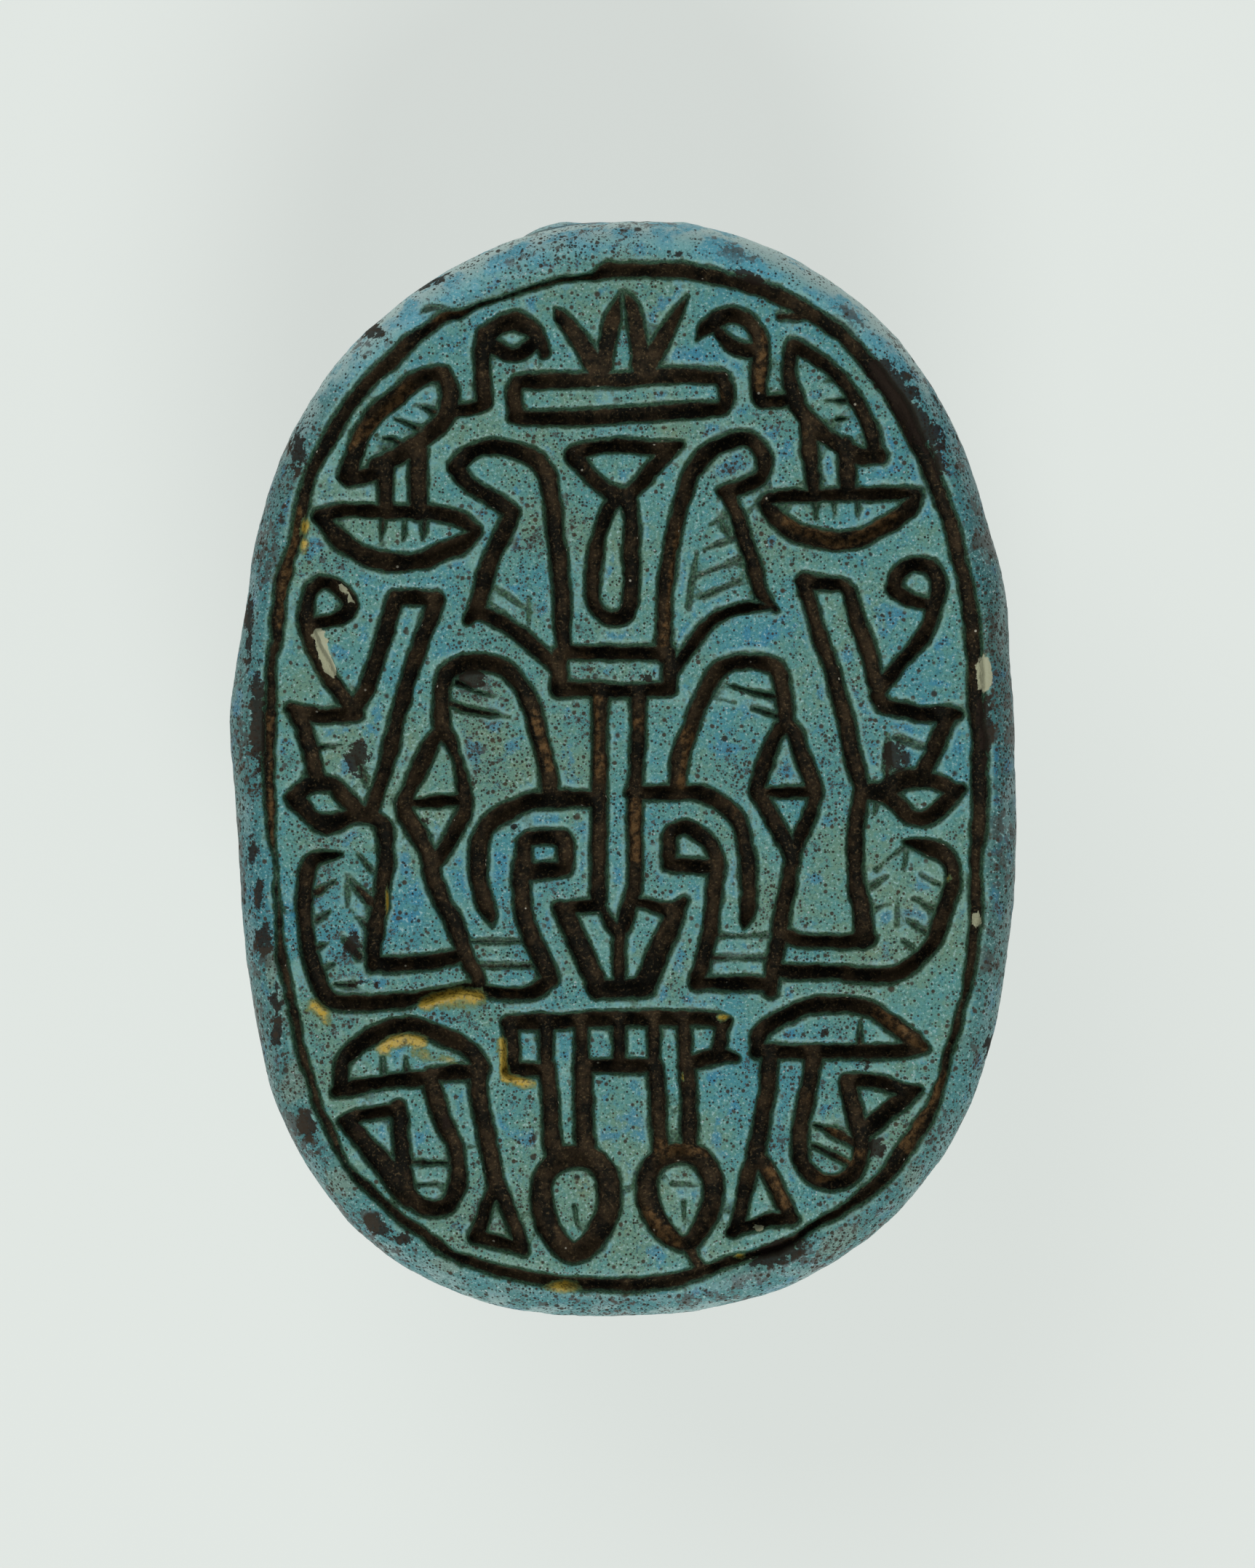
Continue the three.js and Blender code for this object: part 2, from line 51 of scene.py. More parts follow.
# ------------------------------------------------------------------ camera
DISTANCE = 106.0                  # camera above the base plane
VIEW_HIGH = 25.53                 # frame height at the widest outline
CAM_X, CAM_Y = 0.059, -0.29 + Y_SHIFT
NEAR = DISTANCE / (DISTANCE + RIM_DEPTH)   # the base is a little nearer than the outline


def flat(x, y):
    """A place read at the outline's depth, as a place on the base."""
    return CAM_X + (x - CAM_X) * NEAR, (CAM_Y - Y_SHIFT) + (y - CAM_Y + Y_SHIFT) * NEAR


# ------------------------------------------------------------------ carving
# Each stroke: default width, optional floor depth, then the centreline; a third number in a
# point is the width there.
STROKES = []


def stroke(width, *points, deep=None, sharp=42):
    STROKES.append((width, deep, sharp, points))


def ring(width, *points, deep=None, sharp=42):
    STROKES.append((width, deep, sharp, points + (points[0],)))


# border line, left side from the head end down
stroke(.25, (.5, 8.09), (.2, 8.09), (-.28, 8.09), (-.49, 7.98, .13), (-.71, 7.96, .11), (-1.04, 7.92, .1),
       (-1.37, 7.83, .1), (-1.69, 7.74, .1), (-2.02, 7.61, .1), (-2.35, 7.52, .1), (-2.67, 7.37, .14),
       (-2.95, 7.31, .2), (-3.28, 7.07, .22), (-3.52, 6.89, .24), (-3.8, 6.59, .24), (-3.97, 6.46, .22),
       (-4.15, 6.28, .22), (-4.39, 6.0, .22), (-4.6, 5.69, .22), (-4.81, 5.32, .22), (-5.04, 4.93, .2),
       (-5.13, 4.67, .2), (-5.19, 4.46, .2), (-5.24, 4.24, .2), (-5.28, 4.02, .2), (-5.35, 3.69, .2),
       (-5.46, 3.37, .2), (-5.54, 3.08, .22), (-5.59, 2.82, .22), (-5.63, 2.49, .22), (-5.65, 2.06, .2),
       (-5.74, 1.73, .16), (-5.755, 1.0, .18), (-5.786, 0, .18), (-5.77, -.5, .17), (-5.75, -1.0, .15),
       (-5.72, -1.3, .12), (-5.67, -1.51, .1), (-5.66, -2.0, .1), (-5.63, -2.3, .12), (-5.61, -2.75, .15),
       (-5.59, -3.0, .15), (-5.553, -3.25, .15), (-5.488, -3.5, .15), (-5.44, -3.75, .15), (-5.38, -4.0, .15),
       (-5.32, -4.25, .15), (-5.29, -4.5, .15), (-5.226, -4.75, .15), (-5.077, -5.18, .15), (-4.985, -5.52, .15),
       (-4.89, -5.71, .15), (-4.8, -5.89, .14), (-4.71, -6.1, .13), (-4.64, -6.28, .12), (-4.56, -6.42, .11),
       (-4.48, -6.56, .12), (-4.34, -6.72, .13), (-4.18, -6.86, .15), (-4.04, -7.0, .15), (-3.88, -7.15, .15),
       (-3.716, -7.3, .15), (-3.554, -7.44, .15), (-3.35, -7.55, .15), (-3.16, -7.69, .16), (-3.0, -7.82, .17),
       (-2.77, -7.97, .18), (-2.54, -8.06, .18), (-2.3, -8.15, .18), (-1.98, -8.24, .18), (-1.5, -8.33, .19),
       (-1.0, -8.4, .2), (-.46, -8.44, .2), (.06, -8.46, .2), deep=.22, sharp=80)
# border line, right side
stroke(.25, (.2, 8.09), (.5, 8.09), (1.0, 8.07), (1.5, 7.98), (2.0, 7.84), (2.4, 7.72), (2.72, 7.57), (3.05, 7.37),
       (3.3, 7.22), (3.63, 6.96), (3.89, 6.67), (4.11, 6.39), (4.33, 6.11), (4.5, 5.85), (4.64, 5.55), (4.8, 5.21),
       (4.91, 5.04), (4.95, 4.87), (5.07, 4.63), (5.18, 4.35), (5.285, 4.085), (5.37, 3.78), (5.44, 3.47),
       (5.52, 3.19), (5.59, 2.93), (5.63, 2.6), (5.68, 2.28), (5.7, 1.95), (5.73, 1.6, .26), (5.735, 1.25),
       (5.73, 1.0), (5.75, .71), (5.8, .5), (5.8, .25), (5.79, 0), (5.8, -.5), (5.786, -1.0), (5.77, -1.3, .22),
       (5.73, -1.5, .2), (5.74, -2.0, .2), (5.73, -2.5, .18), (5.7, -2.75, .17), (5.68, -3.0, .17),
       (5.655, -3.25, .17), (5.62, -3.49, .16), (5.557, -3.75, .11), (5.49, -3.95, .12), (5.45, -4.12, .13),
       (5.405, -4.32, .14), (5.34, -4.5, .14), (5.3, -4.6, .15), (5.246, -4.83, .15), (5.2, -5.06, .15),
       (5.13, -5.25, .18), (5.084, -5.43, .2), (4.99, -5.615, .22), (4.9, -5.78, .24), (4.784, -5.96, .25),
       (4.67, -6.12, .26), (4.55, -6.28, .26), (4.44, -6.45, .26), (4.3, -6.63, .25), (4.16, -6.77, .25),
       (4.02, -6.9, .23), (3.86, -7.02, .21), (3.68, -7.16, .18), (3.49, -7.28, .16), (3.26, -7.39, .15),
       (3.03, -7.53, .15), (2.77, -7.715, .16), (2.54, -7.82, .18), (2.31, -7.9, .18), (2.08, -7.97, .18),
       (1.846, -8.04, .18), (1.615, -8.11, .19), (1.38, -8.2, .2), (1.0, -8.32, .22), (.6, -8.41, .24),
       (.06, -8.46, .24), deep=.22, sharp=80)
stroke(.1, (-5.63, -2.2), (-5.5, -2.42, .04), deep=.06)
stroke(.06, (-3.36, 7.34, .03), (-3.2, 7.45, .07), (-3.02, 7.47, .06), (-2.8, 7.43, .03), deep=.06)
stroke(.14, (2.53, 7.33), (2.88, 7.33), deep=.1)

# --- upper half, left bird on its basket
stroke(.29, (-2.93, 6.4), (-3.16, 6.38), (-3.4, 6.27), (-3.72, 6.0), (-4.02, 5.77), (-4.2, 5.52), (-4.33, 5.26),
       (-4.43, 4.97, .32), (-4.5, 4.72, .3))
stroke(.25, (-4.5, 4.68), (-4.26, 4.72), (-3.97, 4.81))
stroke(.29, (-2.93, 6.4), (-2.85, 6.2), (-2.84, 5.98), (-2.95, 5.63), (-3.24, 5.37), (-3.57, 5.14), (-4.04, 4.9))
stroke(.1, (-3.42, 5.9, .03), (-3.08, 5.78, .13))
stroke(.1, (-3.74, 5.66, .03), (-3.5, 5.57, .09), (-3.34, 5.5, .13))
stroke(.1, (-3.96, 5.34, .02), (-3.78, 5.33, .08), (-3.62, 5.26, .12))
stroke(.2, (-2.75, 5.79), (-2.45, 5.84), (-2.25, 5.9))
stroke(.26, (-2.27, 5.92), (-2.3, 6.35), (-2.31, 6.67), (-2.27, 7.05))
stroke(.3, (-2.25, 6.98), (-2.05, 7.18), (-1.76, 7.27), (-1.52, 7.14), (-1.37, 6.95, .26), (-1.28, 6.74, .2))
stroke(.27, (-2.2, 6.9), (-2.08, 6.83), (-1.86, 6.72), (-1.66, 6.75), (-1.5, 6.88))
stroke(.26, (-3.89, 4.9), (-3.885, 4.15))
stroke(.29, (-3.34, 5.15), (-3.35, 4.15))
stroke(.24, (-4.95, 4.08), (-4.58, 4.17), (-4.26, 4.17), (-3.82, 4.15), (-3.28, 4.15), (-3.0, 4.13), (-2.67, 4.02),
       (-2.4, 3.85, .18))
stroke(.3, (-4.95, 4.06, .22), (-4.69, 3.76), (-4.47, 3.56), (-4.15, 3.41), (-3.71, 3.32), (-3.28, 3.365),
       (-2.95, 3.5), (-2.67, 3.6), (-2.4, 3.8, .2))
for x, w in ((-3.93, .11), (-3.57, .09), (-3.25, .11)):
    stroke(w, (x, 4.0), (x - .01, 3.78, w * .7), (x - .02, 3.66, .03))

# plant on its bar
stroke(.3, (-1.1, 7.45, .1), (-1.0, 7.31, .22), (-.9, 7.19, .27), (-.76, 7.0, .3), (-.61, 6.77, .31), (-.46, 6.5, .3))
stroke(.28, (-.05, 7.75, .06), (-.11, 7.54, .17), (-.18, 7.27, .27), (-.24, 7.0, .28), (-.29, 6.75, .28), (-.32, 6.5, .28))
stroke(.28, (-.02, 7.76, .06), (.09, 7.56, .2), (.18, 7.27, .27), (.22, 7.0, .28), (.26, 6.75, .29), (.26, 6.5, .29))
stroke(.3, (1.04, 7.67, .07), (.93, 7.48, .16), (.8, 7.26, .23), (.65, 7.0, .28), (.51, 6.76, .3), (.38, 6.5, .3))
ring(.26, (-1.72, 6.26), (-1.1, 6.28), (-.6, 6.29), (.2, 6.31), (.65, 6.36), (1.5, 6.35), (1.61, 6.29), (1.66, 6.16),
     (1.67, 5.98), (1.61, 5.86), (1.45, 5.82), (.2, 5.74), (-.6, 5.69), (-1.66, 5.68), (-1.75, 5.74), (-1.78, 5.9),
     (-1.78, 6.14), sharp=60)

# right bird on its basket
stroke(.27, (1.19, 6.95, .08), (1.32, 7.13, .23), (1.5, 7.28), (1.76, 7.36), (2.02, 7.27), (2.18, 7.06), (2.24, 6.8, .26),
       (2.22, 6.5, .26), (2.2, 6.24, .26), (2.23, 5.97, .26))
stroke(.24, (2.22, 6.8), (2.0, 6.78), (1.8, 6.83), (1.62, 6.97, .2), (1.52, 7.14, .15))
stroke(.21, (2.22, 5.95), (2.51, 5.96), (2.8, 5.97))
stroke(.25, (2.75, 6.82), (2.69, 6.5), (2.73, 6.19), (2.83, 5.97))
stroke(.24, (2.76, 6.86), (3.02, 6.72), (3.34, 6.5), (3.61, 6.24), (3.78, 5.98), (3.93, 5.69), (4.04, 5.41),
       (4.11, 5.1))
stroke(.28, (2.8, 5.92), (3.04, 5.61), (3.36, 5.34), (3.68, 5.13), (3.92, 5.05), (4.16, 5.06))
stroke(.09, (3.28, 5.96, .04), (3.62, 5.96, .1))
stroke(.09, (3.42, 5.62, .05), (3.54, 5.66, .1), (3.7, 5.67, .03))
stroke(.08, (3.2, 6.28, .03), (3.5, 6.27, .08))
stroke(.26, (2.98, 5.6), (3.03, 5.2), (3.09, 4.5))
stroke(.27, (3.6, 5.25), (3.64, 4.78), (3.63, 4.5))
stroke(.23, (2.29, 4.35, .16), (2.4, 4.38), (2.72, 4.41), (3.24, 4.42), (3.78, 4.43), (4.22, 4.44), (4.54, 4.45),
       (4.78, 4.47, .16))
stroke(.3, (2.29, 4.3, .2), (2.46, 4.08), (2.72, 3.86), (2.94, 3.77), (3.24, 3.7), (3.52, 3.67), (3.85, 3.72),
       (4.15, 3.86), (4.43, 4.03), (4.64, 4.22), (4.78, 4.42, .18))
for x, w in ((3.13, .09), (3.42, .1), (3.8, .08)):
    stroke(w, (x, 4.3), (x, 4.1, w * .7), (x, 4.02, .03))

# left and right crooks with the tapered frames under them
stroke(.27, (-2.73, 4.87), (-2.58, 5.05), (-2.3, 5.19), (-2.0, 5.2), (-1.67, 5.12), (-1.39, 4.97), (-1.25, 4.76),
       (-1.2, 4.5), (-1.15, 4.2), (-1.11, 3.8), (-1.05, 3.365), (-1.015, 2.93), (-1.0, 2.38), (-.99, 1.95),
       (-1.05, 1.7))
stroke(.26, (-2.73, 4.87), (-2.58, 4.66), (-2.33, 4.47), (-2.06, 4.31), (-1.84, 4.16))
stroke(.27, (-1.84, 4.16), (-1.89, 3.975), (-2.0, 3.74), (-2.12, 3.47), (-2.24, 3.15), (-2.33, 2.82), (-2.4, 2.6),
       (-2.52, 2.4, .2))
stroke(.24, (-2.5, 2.44, .14), (-2.28, 2.47), (-1.95, 2.32), (-1.65, 2.12), (-1.39, 1.88), (-1.1, 1.62))
stroke(.05, (-2.13, 2.93), (-1.5, 2.5, .02), deep=.035)
stroke(.05, (-2.24, 2.69), (-1.6, 2.27, .02), deep=.035)
stroke(.05, (-1.55, 2.75), (-1.55, 2.3, .02), deep=.035)
stroke(.25, (1.09, 4.76), (1.24, 4.98), (1.4, 5.14), (1.66, 5.27), (1.92, 5.34), (2.12, 5.27), (2.25, 5.12),
       (2.3, 4.93), (2.26, 4.76), (2.12, 4.63), (1.85, 4.53), (1.6, 4.48, .2))
stroke(.24, (1.7, 4.455), (1.78, 4.24), (1.87, 4.02), (1.97, 3.69), (2.1, 3.365), (2.17, 3.04), (2.25, 2.8),
       (2.48, 2.55, .12))
stroke(.22, (2.4, 2.6, .12), (1.96, 2.58), (1.53, 2.43), (1.31, 2.25), (1.13, 2.01), (.96, 1.77), (.85, 1.6))
stroke(.25, (1.09, 4.76), (.99, 4.455), (.89, 4.13), (.81, 3.8), (.74, 3.365), (.68, 2.93), (.66, 2.38), (.65, 1.8))
for a, b in (((1.3, 3.53), (1.82, 3.73)), ((1.2, 3.1), (1.9, 3.38)), ((1.18, 2.72), (1.88, 3.02)),
             ((1.4, 3.93), (1.76, 4.13)), ((1.19, 3.5), (1.05, 2.6))):
    stroke(.09, a + (.04,), b + (.1,), deep=.06)
stroke(.12, (1.6, 4.0, .06), (1.66, 3.86, .12), (1.72, 3.76, .06), deep=.08)

# vase on its stem
stroke(.24, (-.84, 5.1), (-.49, 5.19), (-.17, 5.23), (.2, 5.22), (.44, 5.18), (.9, 5.24, .16))
stroke(.27, (-.82, 5.06), (-.55, 4.74), (-.27, 4.5), (-.08, 4.4))
stroke(.25, (.82, 5.18, .16), (.57, 4.97), (.4, 4.77), (.3, 4.63), (.08, 4.4))
stroke(.23, (-.08, 4.4, .26), (-.23, 4.22), (-.32, 4.02), (-.43, 3.65), (-.49, 3.26), (-.51, 2.82), (-.44, 2.57),
       (-.25, 2.4), (-.04, 2.41), (.08, 2.56, .25), (.12, 2.85, .25), (.13, 3.5, .27), (.125, 3.91, .27),
       (.1, 4.3, .28), (-.02, 4.4, .3))

# side loops
stroke(.25, (-4.82, 1.5), (-4.975, 1.8), (-5.1, 2.06), (-5.17, 2.3), (-5.16, 2.6), (-5.11, 2.84), (-4.94, 3.0),
       (-4.73, 2.96), (-4.54, 2.8), (-4.44, 2.62), (-4.58, 2.46), (-4.82, 2.36, .22), (-5.04, 2.32, .2))
stroke(.25, (-4.975, 1.8), (-4.82, 1.5), (-4.69, 1.3), (-4.56, 1.1), (-4.43, .93))
stroke(.25, (4.15, 1.23), (4.24, 1.364), (4.37, 1.495), (4.456, 1.626), (4.58, 1.77), (4.79, 1.99), (4.95, 2.28),
       (5.05, 2.6), (5.12, 2.82), (5.12, 3.06), (4.98, 3.26), (4.76, 3.3), (4.56, 3.22), (4.44, 3.08), (4.41, 2.9),
       (4.56, 2.77), (4.76, 2.68), (4.98, 2.64, .2))

# tall pairs
stroke(.24, (-3.72, 2.74), (-3.385, 2.76), (-3.05, 2.72))
stroke(.26, (-3.72, 2.74), (-3.86, 2.28), (-3.98, 1.905), (-4.08, 1.6), (-4.2, 1.255), (-4.29, 1.08), (-4.42, .9))
stroke(.26, (-3.05, 2.72), (-3.13, 2.5), (-3.23, 2.21), (-3.34, 1.905), (-3.45, 1.6), (-3.53, 1.36), (-3.62, 1.04),
       (-3.7, .75), (-3.76, .49), (-3.83, .19), (-3.91, -.12), (-3.99, -.34), (-4.06, -.55), (-4.15, -.8))
stroke(.23, (2.93, 3.02), (3.24, 2.97), (3.52, 2.95), (3.68, 2.84))
stroke(.25, (2.93, 3.02), (3.04, 2.65), (3.13, 2.32), (3.24, 1.99), (3.345, 1.73), (3.43, 1.47), (3.476, 1.255),
       (3.55, .99), (3.617, .75), (3.66, .49), (3.715, .23), (3.77, 0), (3.82, -.16), (3.86, -.36), (3.85, -.6),
       (3.8, -.92), (3.78, -1.14), (3.765, -1.4), (3.79, -1.75), (3.81, -2.0, .28), (3.87, -2.25, .3),
       (3.9, -2.5, .3), (3.9, -2.84, .28))
stroke(.26, (3.67, 2.84), (3.77, 2.49), (3.87, 2.17), (4.0, 1.82), (4.08, 1.47), (4.16, 1.25))

# --- lower half: arms and lozenges
stroke(.27, (-4.36, .86), (-4.69, .84), (-4.95, .82), (-5.17, .86), (-5.43, .95, .2))
stroke(.28, (-5.33, .88), (-5.25, .75), (-5.18, .54), (-5.12, .32), (-5.07, .1), (-5.03, -.12), (-4.95, -.27))
stroke(.25, (-4.95, -.28), (-4.72, -.31), (-4.57, -.49), (-4.4, -.66), (-4.18, -.8))
stroke(.13, (-5.0, .3), (-4.52, .36, .02))
stroke(.1, (-4.35, .15, .05), (-4.2, -.2, .12), (-4.15, -.4, .05), deep=.05)
ring(.27, (-4.18, -.8), (-4.39, -.81), (-4.65, -.9, .3), (-4.87, -.95, .33), (-5.08, -.84), (-5.215, -.68),
     (-5.36, -.55), (-5.44, -.5, .16), (-5.3, -.42), (-5.15, -.31), (-4.95, -.28), (-4.72, -.31), (-4.57, -.49),
     (-4.4, -.66), sharp=60)
stroke(.26, (-4.15, -.8), (-4.02, -.87), (-3.93, -.97), (-3.886, -1.19), (-3.875, -1.47), (-3.9, -1.75),
       (-3.93, -2.0), (-3.95, -2.25), (-4.02, -2.5), (-4.05, -2.75), (-4.08, -3.0), (-4.08, -3.24))
stroke(.26, (-4.08, -3.22), (-3.82, -3.23), (-3.49, -3.22), (-3.17, -3.19), (-2.88, -3.14), (-2.6, -3.06))
stroke(.27, (4.13, 1.15), (4.217, .99), (4.435, .93), (4.65, .906), (4.87, .86), (5.09, .84), (5.3, .86),
       (5.45, .84, .18))
stroke(.28, (5.33, .84, .24), (5.22, .645), (5.12, .45), (5.05, .23), (4.96, .056), (4.88, -.1), (4.76, -.17),
       (4.54, -.18), (4.37, -.29), (4.217, -.4), (4.06, -.42), (3.88, -.45, .24))
stroke(.11, (4.3, .55, .06), (4.3, -.25, .13), deep=.06)
stroke(.1, (4.42, .48), (4.93, .3), deep=.06)
ring(.27, (4.2, -.45), (4.4, -.33), (4.6, -.25), (4.98, -.23), (5.2, -.29), (5.37, -.37, .2), (5.49, -.38, .18),
     (5.3, -.55), (5.09, -.73), (4.87, -.86), (4.67, -.815), (4.5, -.66), (4.37, -.55), sharp=60)
stroke(.16, (4.2, -.45), (4.12, -.62, .1), (4.08, -.8, .04), deep=.08)

# wings
stroke(.26, (-4.6, -1.44, .1), (-4.91, -1.465, .2), (-5.12, -1.58), (-5.18, -1.8), (-5.2, -2.0), (-5.215, -2.25),
       (-5.2, -2.5), (-5.17, -2.75), (-5.13, -3.0), (-5.06, -3.25), (-4.975, -3.5, .28), (-4.88, -3.72, .28),
       (-4.7, -3.84), (-4.47, -3.86), (-4.04, -3.85), (-3.6, -3.82), (-3.17, -3.74, .22), (-2.82, -3.66, .15),
       (-2.56, -3.6, .16), (-2.24, -3.67, .22), (-1.91, -3.71, .23), (-1.58, -3.7, .24), (-1.365, -3.62, .26),
       (-1.19, -3.47, .28), sharp=60)
for a, b, w in (((-4.72, -1.87), (-5.0, -2.05), .16), ((-4.78, -2.36), (-5.0, -2.5), .14),
                ((-4.8, -2.87), (-5.0, -2.97), .12), ((-4.73, -3.22), (-4.92, -3.3), .13),
                ((-4.7, -3.55), (-4.42, -3.56), .12), ((-4.45, -1.84), (-4.13, -2.2), .17),
                ((-4.45, -2.36), (-4.15, -2.62), .1), ((-4.58, -2.8), (-4.3, -3.1), .14),
                ((-4.35, -1.4), (-4.1, -1.7), .12)):
    stroke(w, a + (w * .45,), b, deep=.09)
stroke(.05, (-4.5, -1.75), (-4.5, -2.3), deep=.03)
stroke(.26, (4.58, -1.23, .1), (4.76, -1.25, .18), (4.98, -1.34), (5.2, -1.43), (5.34, -1.6), (5.37, -1.86),
       (5.33, -2.05), (5.25, -2.27), (5.176, -2.49), (5.11, -2.71), (5.0, -2.93), (4.83, -3.1), (4.65, -3.25),
       (4.435, -3.38), (4.217, -3.405), (3.89, -3.405), (3.56, -3.37), (3.236, -3.36), (2.9, -3.35), (2.725, -3.34),
       (2.45, -3.32), sharp=60)
for a, b, w in (((4.83, -1.76), (5.13, -1.93), .09), ((4.74, -2.16), (5.07, -2.34), .1),
                ((4.61, -2.51), (4.91, -2.69), .1), ((4.5, -2.82), (4.74, -2.97), .09),
                ((4.3, -1.79), (4.02, -1.97), .1), ((4.35, -2.22), (4.12, -2.3), .07),
                ((4.6, -1.4), (4.55, -1.7), .07), ((4.56, -1.3), (4.1, -1.68), .07)):
    stroke(w, a + (w * .5,), b, deep=.08)
stroke(.05, (4.45, -2.1), (4.45, -2.6), deep=.03)
stroke(.23, (3.98, -2.83), (3.67, -2.86), (3.345, -2.85), (3.02, -2.85), (2.83, -2.83), (2.62, -2.75))
stroke(.16, (3.9, -2.84), (4.1, -2.8, .08))

# arches with their pendants
stroke(.28, (-1.21, -.45), (-1.235, -.16), (-1.28, .06), (-1.34, .32), (-1.41, .6), (-1.47, .84), (-1.54, 1.04),
       (-1.605, 1.19), (-1.71, 1.36), (-1.845, 1.52), (-2.02, 1.63), (-2.24, 1.68), (-2.455, 1.69), (-2.67, 1.65),
       (-2.87, 1.52), (-2.97, 1.3), (-2.98, 1.1), (-2.98, .82), (-2.95, .58), (-2.82, .42, .2), (-2.76, .23, .14),
       (-2.695, .06, .16), (-2.65, -.16, .2), (-2.61, -.38, .26), (-2.59, -.6, .26), (-2.63, -.82, .26),
       (-2.74, -1.03, .26), (-2.83, -1.2, .26), (-2.95, -1.4, .26), (-3.12, -1.6, .26))
stroke(.27, (-2.95, .6, .2), (-3.1, .45, .25), (-3.21, .23), (-3.3, .01), (-3.41, -.2), (-3.49, -.38), (-3.6, -.6))
stroke(.27, (-3.6, -.6), (-3.57, -.75), (-3.49, -.88), (-3.385, -1.08), (-3.25, -1.32), (-3.15, -1.55),
       (-3.1, -1.84), (-3.01, -2.05), (-2.93, -2.27), (-2.83, -2.42), (-2.74, -2.62), (-2.65, -2.84), (-2.59, -3.05),
       (-2.5, -3.25), (-2.39, -3.4), (-2.36, -3.62))
stroke(.16, (-3.55, -.61, .14), (-3.1, -.58, .18), (-2.65, -.54, .24))
stroke(.07, (-3.4, -.8), (-3.15, -1.15))
stroke(.09, (-2.7, 1.36, .1), (-2.4, 1.22, .08), (-2.1, 1.13, .02))
stroke(.12, (-2.84, 1.02), (-2.45, .9, .13), (-2.1, .84, .1), (-1.85, .8, .03), deep=.12)
stroke(.27, (.894, -.4), (.9, 0), (.948, .27), (1.035, .49), (1.11, .71), (1.2, .93), (1.31, 1.146), (1.406, 1.364),
       (1.5, 1.52), (1.656, 1.64), (1.85, 1.69), (2.07, 1.7), (2.29, 1.68), (2.46, 1.626), (2.55, 1.495),
       (2.59, 1.32), (2.615, 1.1), (2.637, .885), (2.64, .71))
stroke(.09, (1.68, 1.34, .05), (2.15, 1.2, .1), (2.5, 1.13, .1))
stroke(.04, (1.44, 1.1), (1.81, 1.04))
stroke(.1, (2.1, .95, .05), (2.5, .82, .11))
stroke(.26, (2.64, .71), (2.5, .535), (2.4, .32), (2.31, .1), (2.245, -.12), (2.2, -.31), (2.2, -.45), (2.29, -.576),
       (2.376, -.77), (2.485, -.97), (2.59, -1.16), (2.7, -1.34), (2.746, -1.51), (2.71, -1.75), (2.67, -2.0),
       (2.615, -2.25), (2.57, -2.5), (2.53, -2.75), (2.5, -3.0), (2.44, -3.25), (2.41, -3.47), (2.4, -3.69, .2),
       sharp=75)
stroke(.26, (2.66, .71), (2.79, .535), (2.855, .32), (2.93, .1), (3.02, -.12), (3.095, -.34), (3.13, -.49, .24),
       (3.08, -.62, .22), (3.03, -.8, .22), (2.94, -1.0, .22), (2.855, -1.19, .22), (2.77, -1.42, .22), sharp=75)
stroke(.2, (2.2, -.42), (3.12, -.42))

# inner arches and the squared loops under them
stroke(.29, (-.4, -.55), (-.71, -.54), (-1.04, -.53), (-1.365, -.56), (-1.58, -.6), (-1.8, -.68), (-2.02, -.81),
       (-2.17, -.92), (-2.3, -1.1), (-2.36, -1.32), (-2.37, -1.75), (-2.32, -2.0), (-2.25, -2.25), (-2.18, -2.42, .2),
       (-2.13, -2.62, .05))
ring(.25, (-1.62, -1.24), (-1.5, -1.18), (-.98, -1.16), (-.95, -1.28), (-.96, -1.68, .28), (-1.62, -1.72, .3))
stroke(.29, (-1.65, -1.6), (-1.69, -1.8), (-1.67, -2.0), (-1.65, -2.25), (-1.605, -2.5), (-1.52, -2.75),
       (-1.4, -3.0), (-1.29, -3.25), (-1.19, -3.49), sharp=80)
stroke(.1, (-2.49, -2.85), (-1.6, -2.85, .08), deep=.07)
stroke(.12, (-2.35, -3.25), (-1.5, -3.25, .1), deep=.07)
stroke(.26, (.15, -.42), (.76, -.44), (1.0, -.42), (1.22, -.43), (1.417, -.51), (1.635, -.65), (1.81, -.8),
       (1.918, -.99), (1.96, -1.14), (1.98, -1.36), (2.02, -1.51), (2.03, -1.75), (2.04, -2.0), (2.03, -2.25),
       (1.99, -2.5, .2), (1.94, -2.71, .06))
ring(.24, (.74, -1.3), (.75, -1.13), (.86, -1.02), (1.0, -.98), (1.155, -1.06), (1.31, -1.16), (1.42, -1.29),
     (1.5, -1.45), (1.54, -1.64, .26), (1.1, -1.62, .25), (.73, -1.6, .25), sharp=50)
stroke(.26, (1.53, -1.62), (1.51, -1.8), (1.48, -2.0), (1.47, -2.25), (1.43, -2.5), (1.395, -2.75), (1.33, -3.0),
       (1.286, -3.25), (1.22, -3.43), (1.2, -3.54))
stroke(.23, (1.2, -3.54), (1.53, -3.54), (1.85, -3.54), (2.18, -3.53), (2.4, -3.58))
stroke(.1, (1.5, -2.755), (2.42, -2.755, .08), deep=.07)
stroke(.11, (1.4, -3.12), (2.35, -3.12, .09), deep=.07)

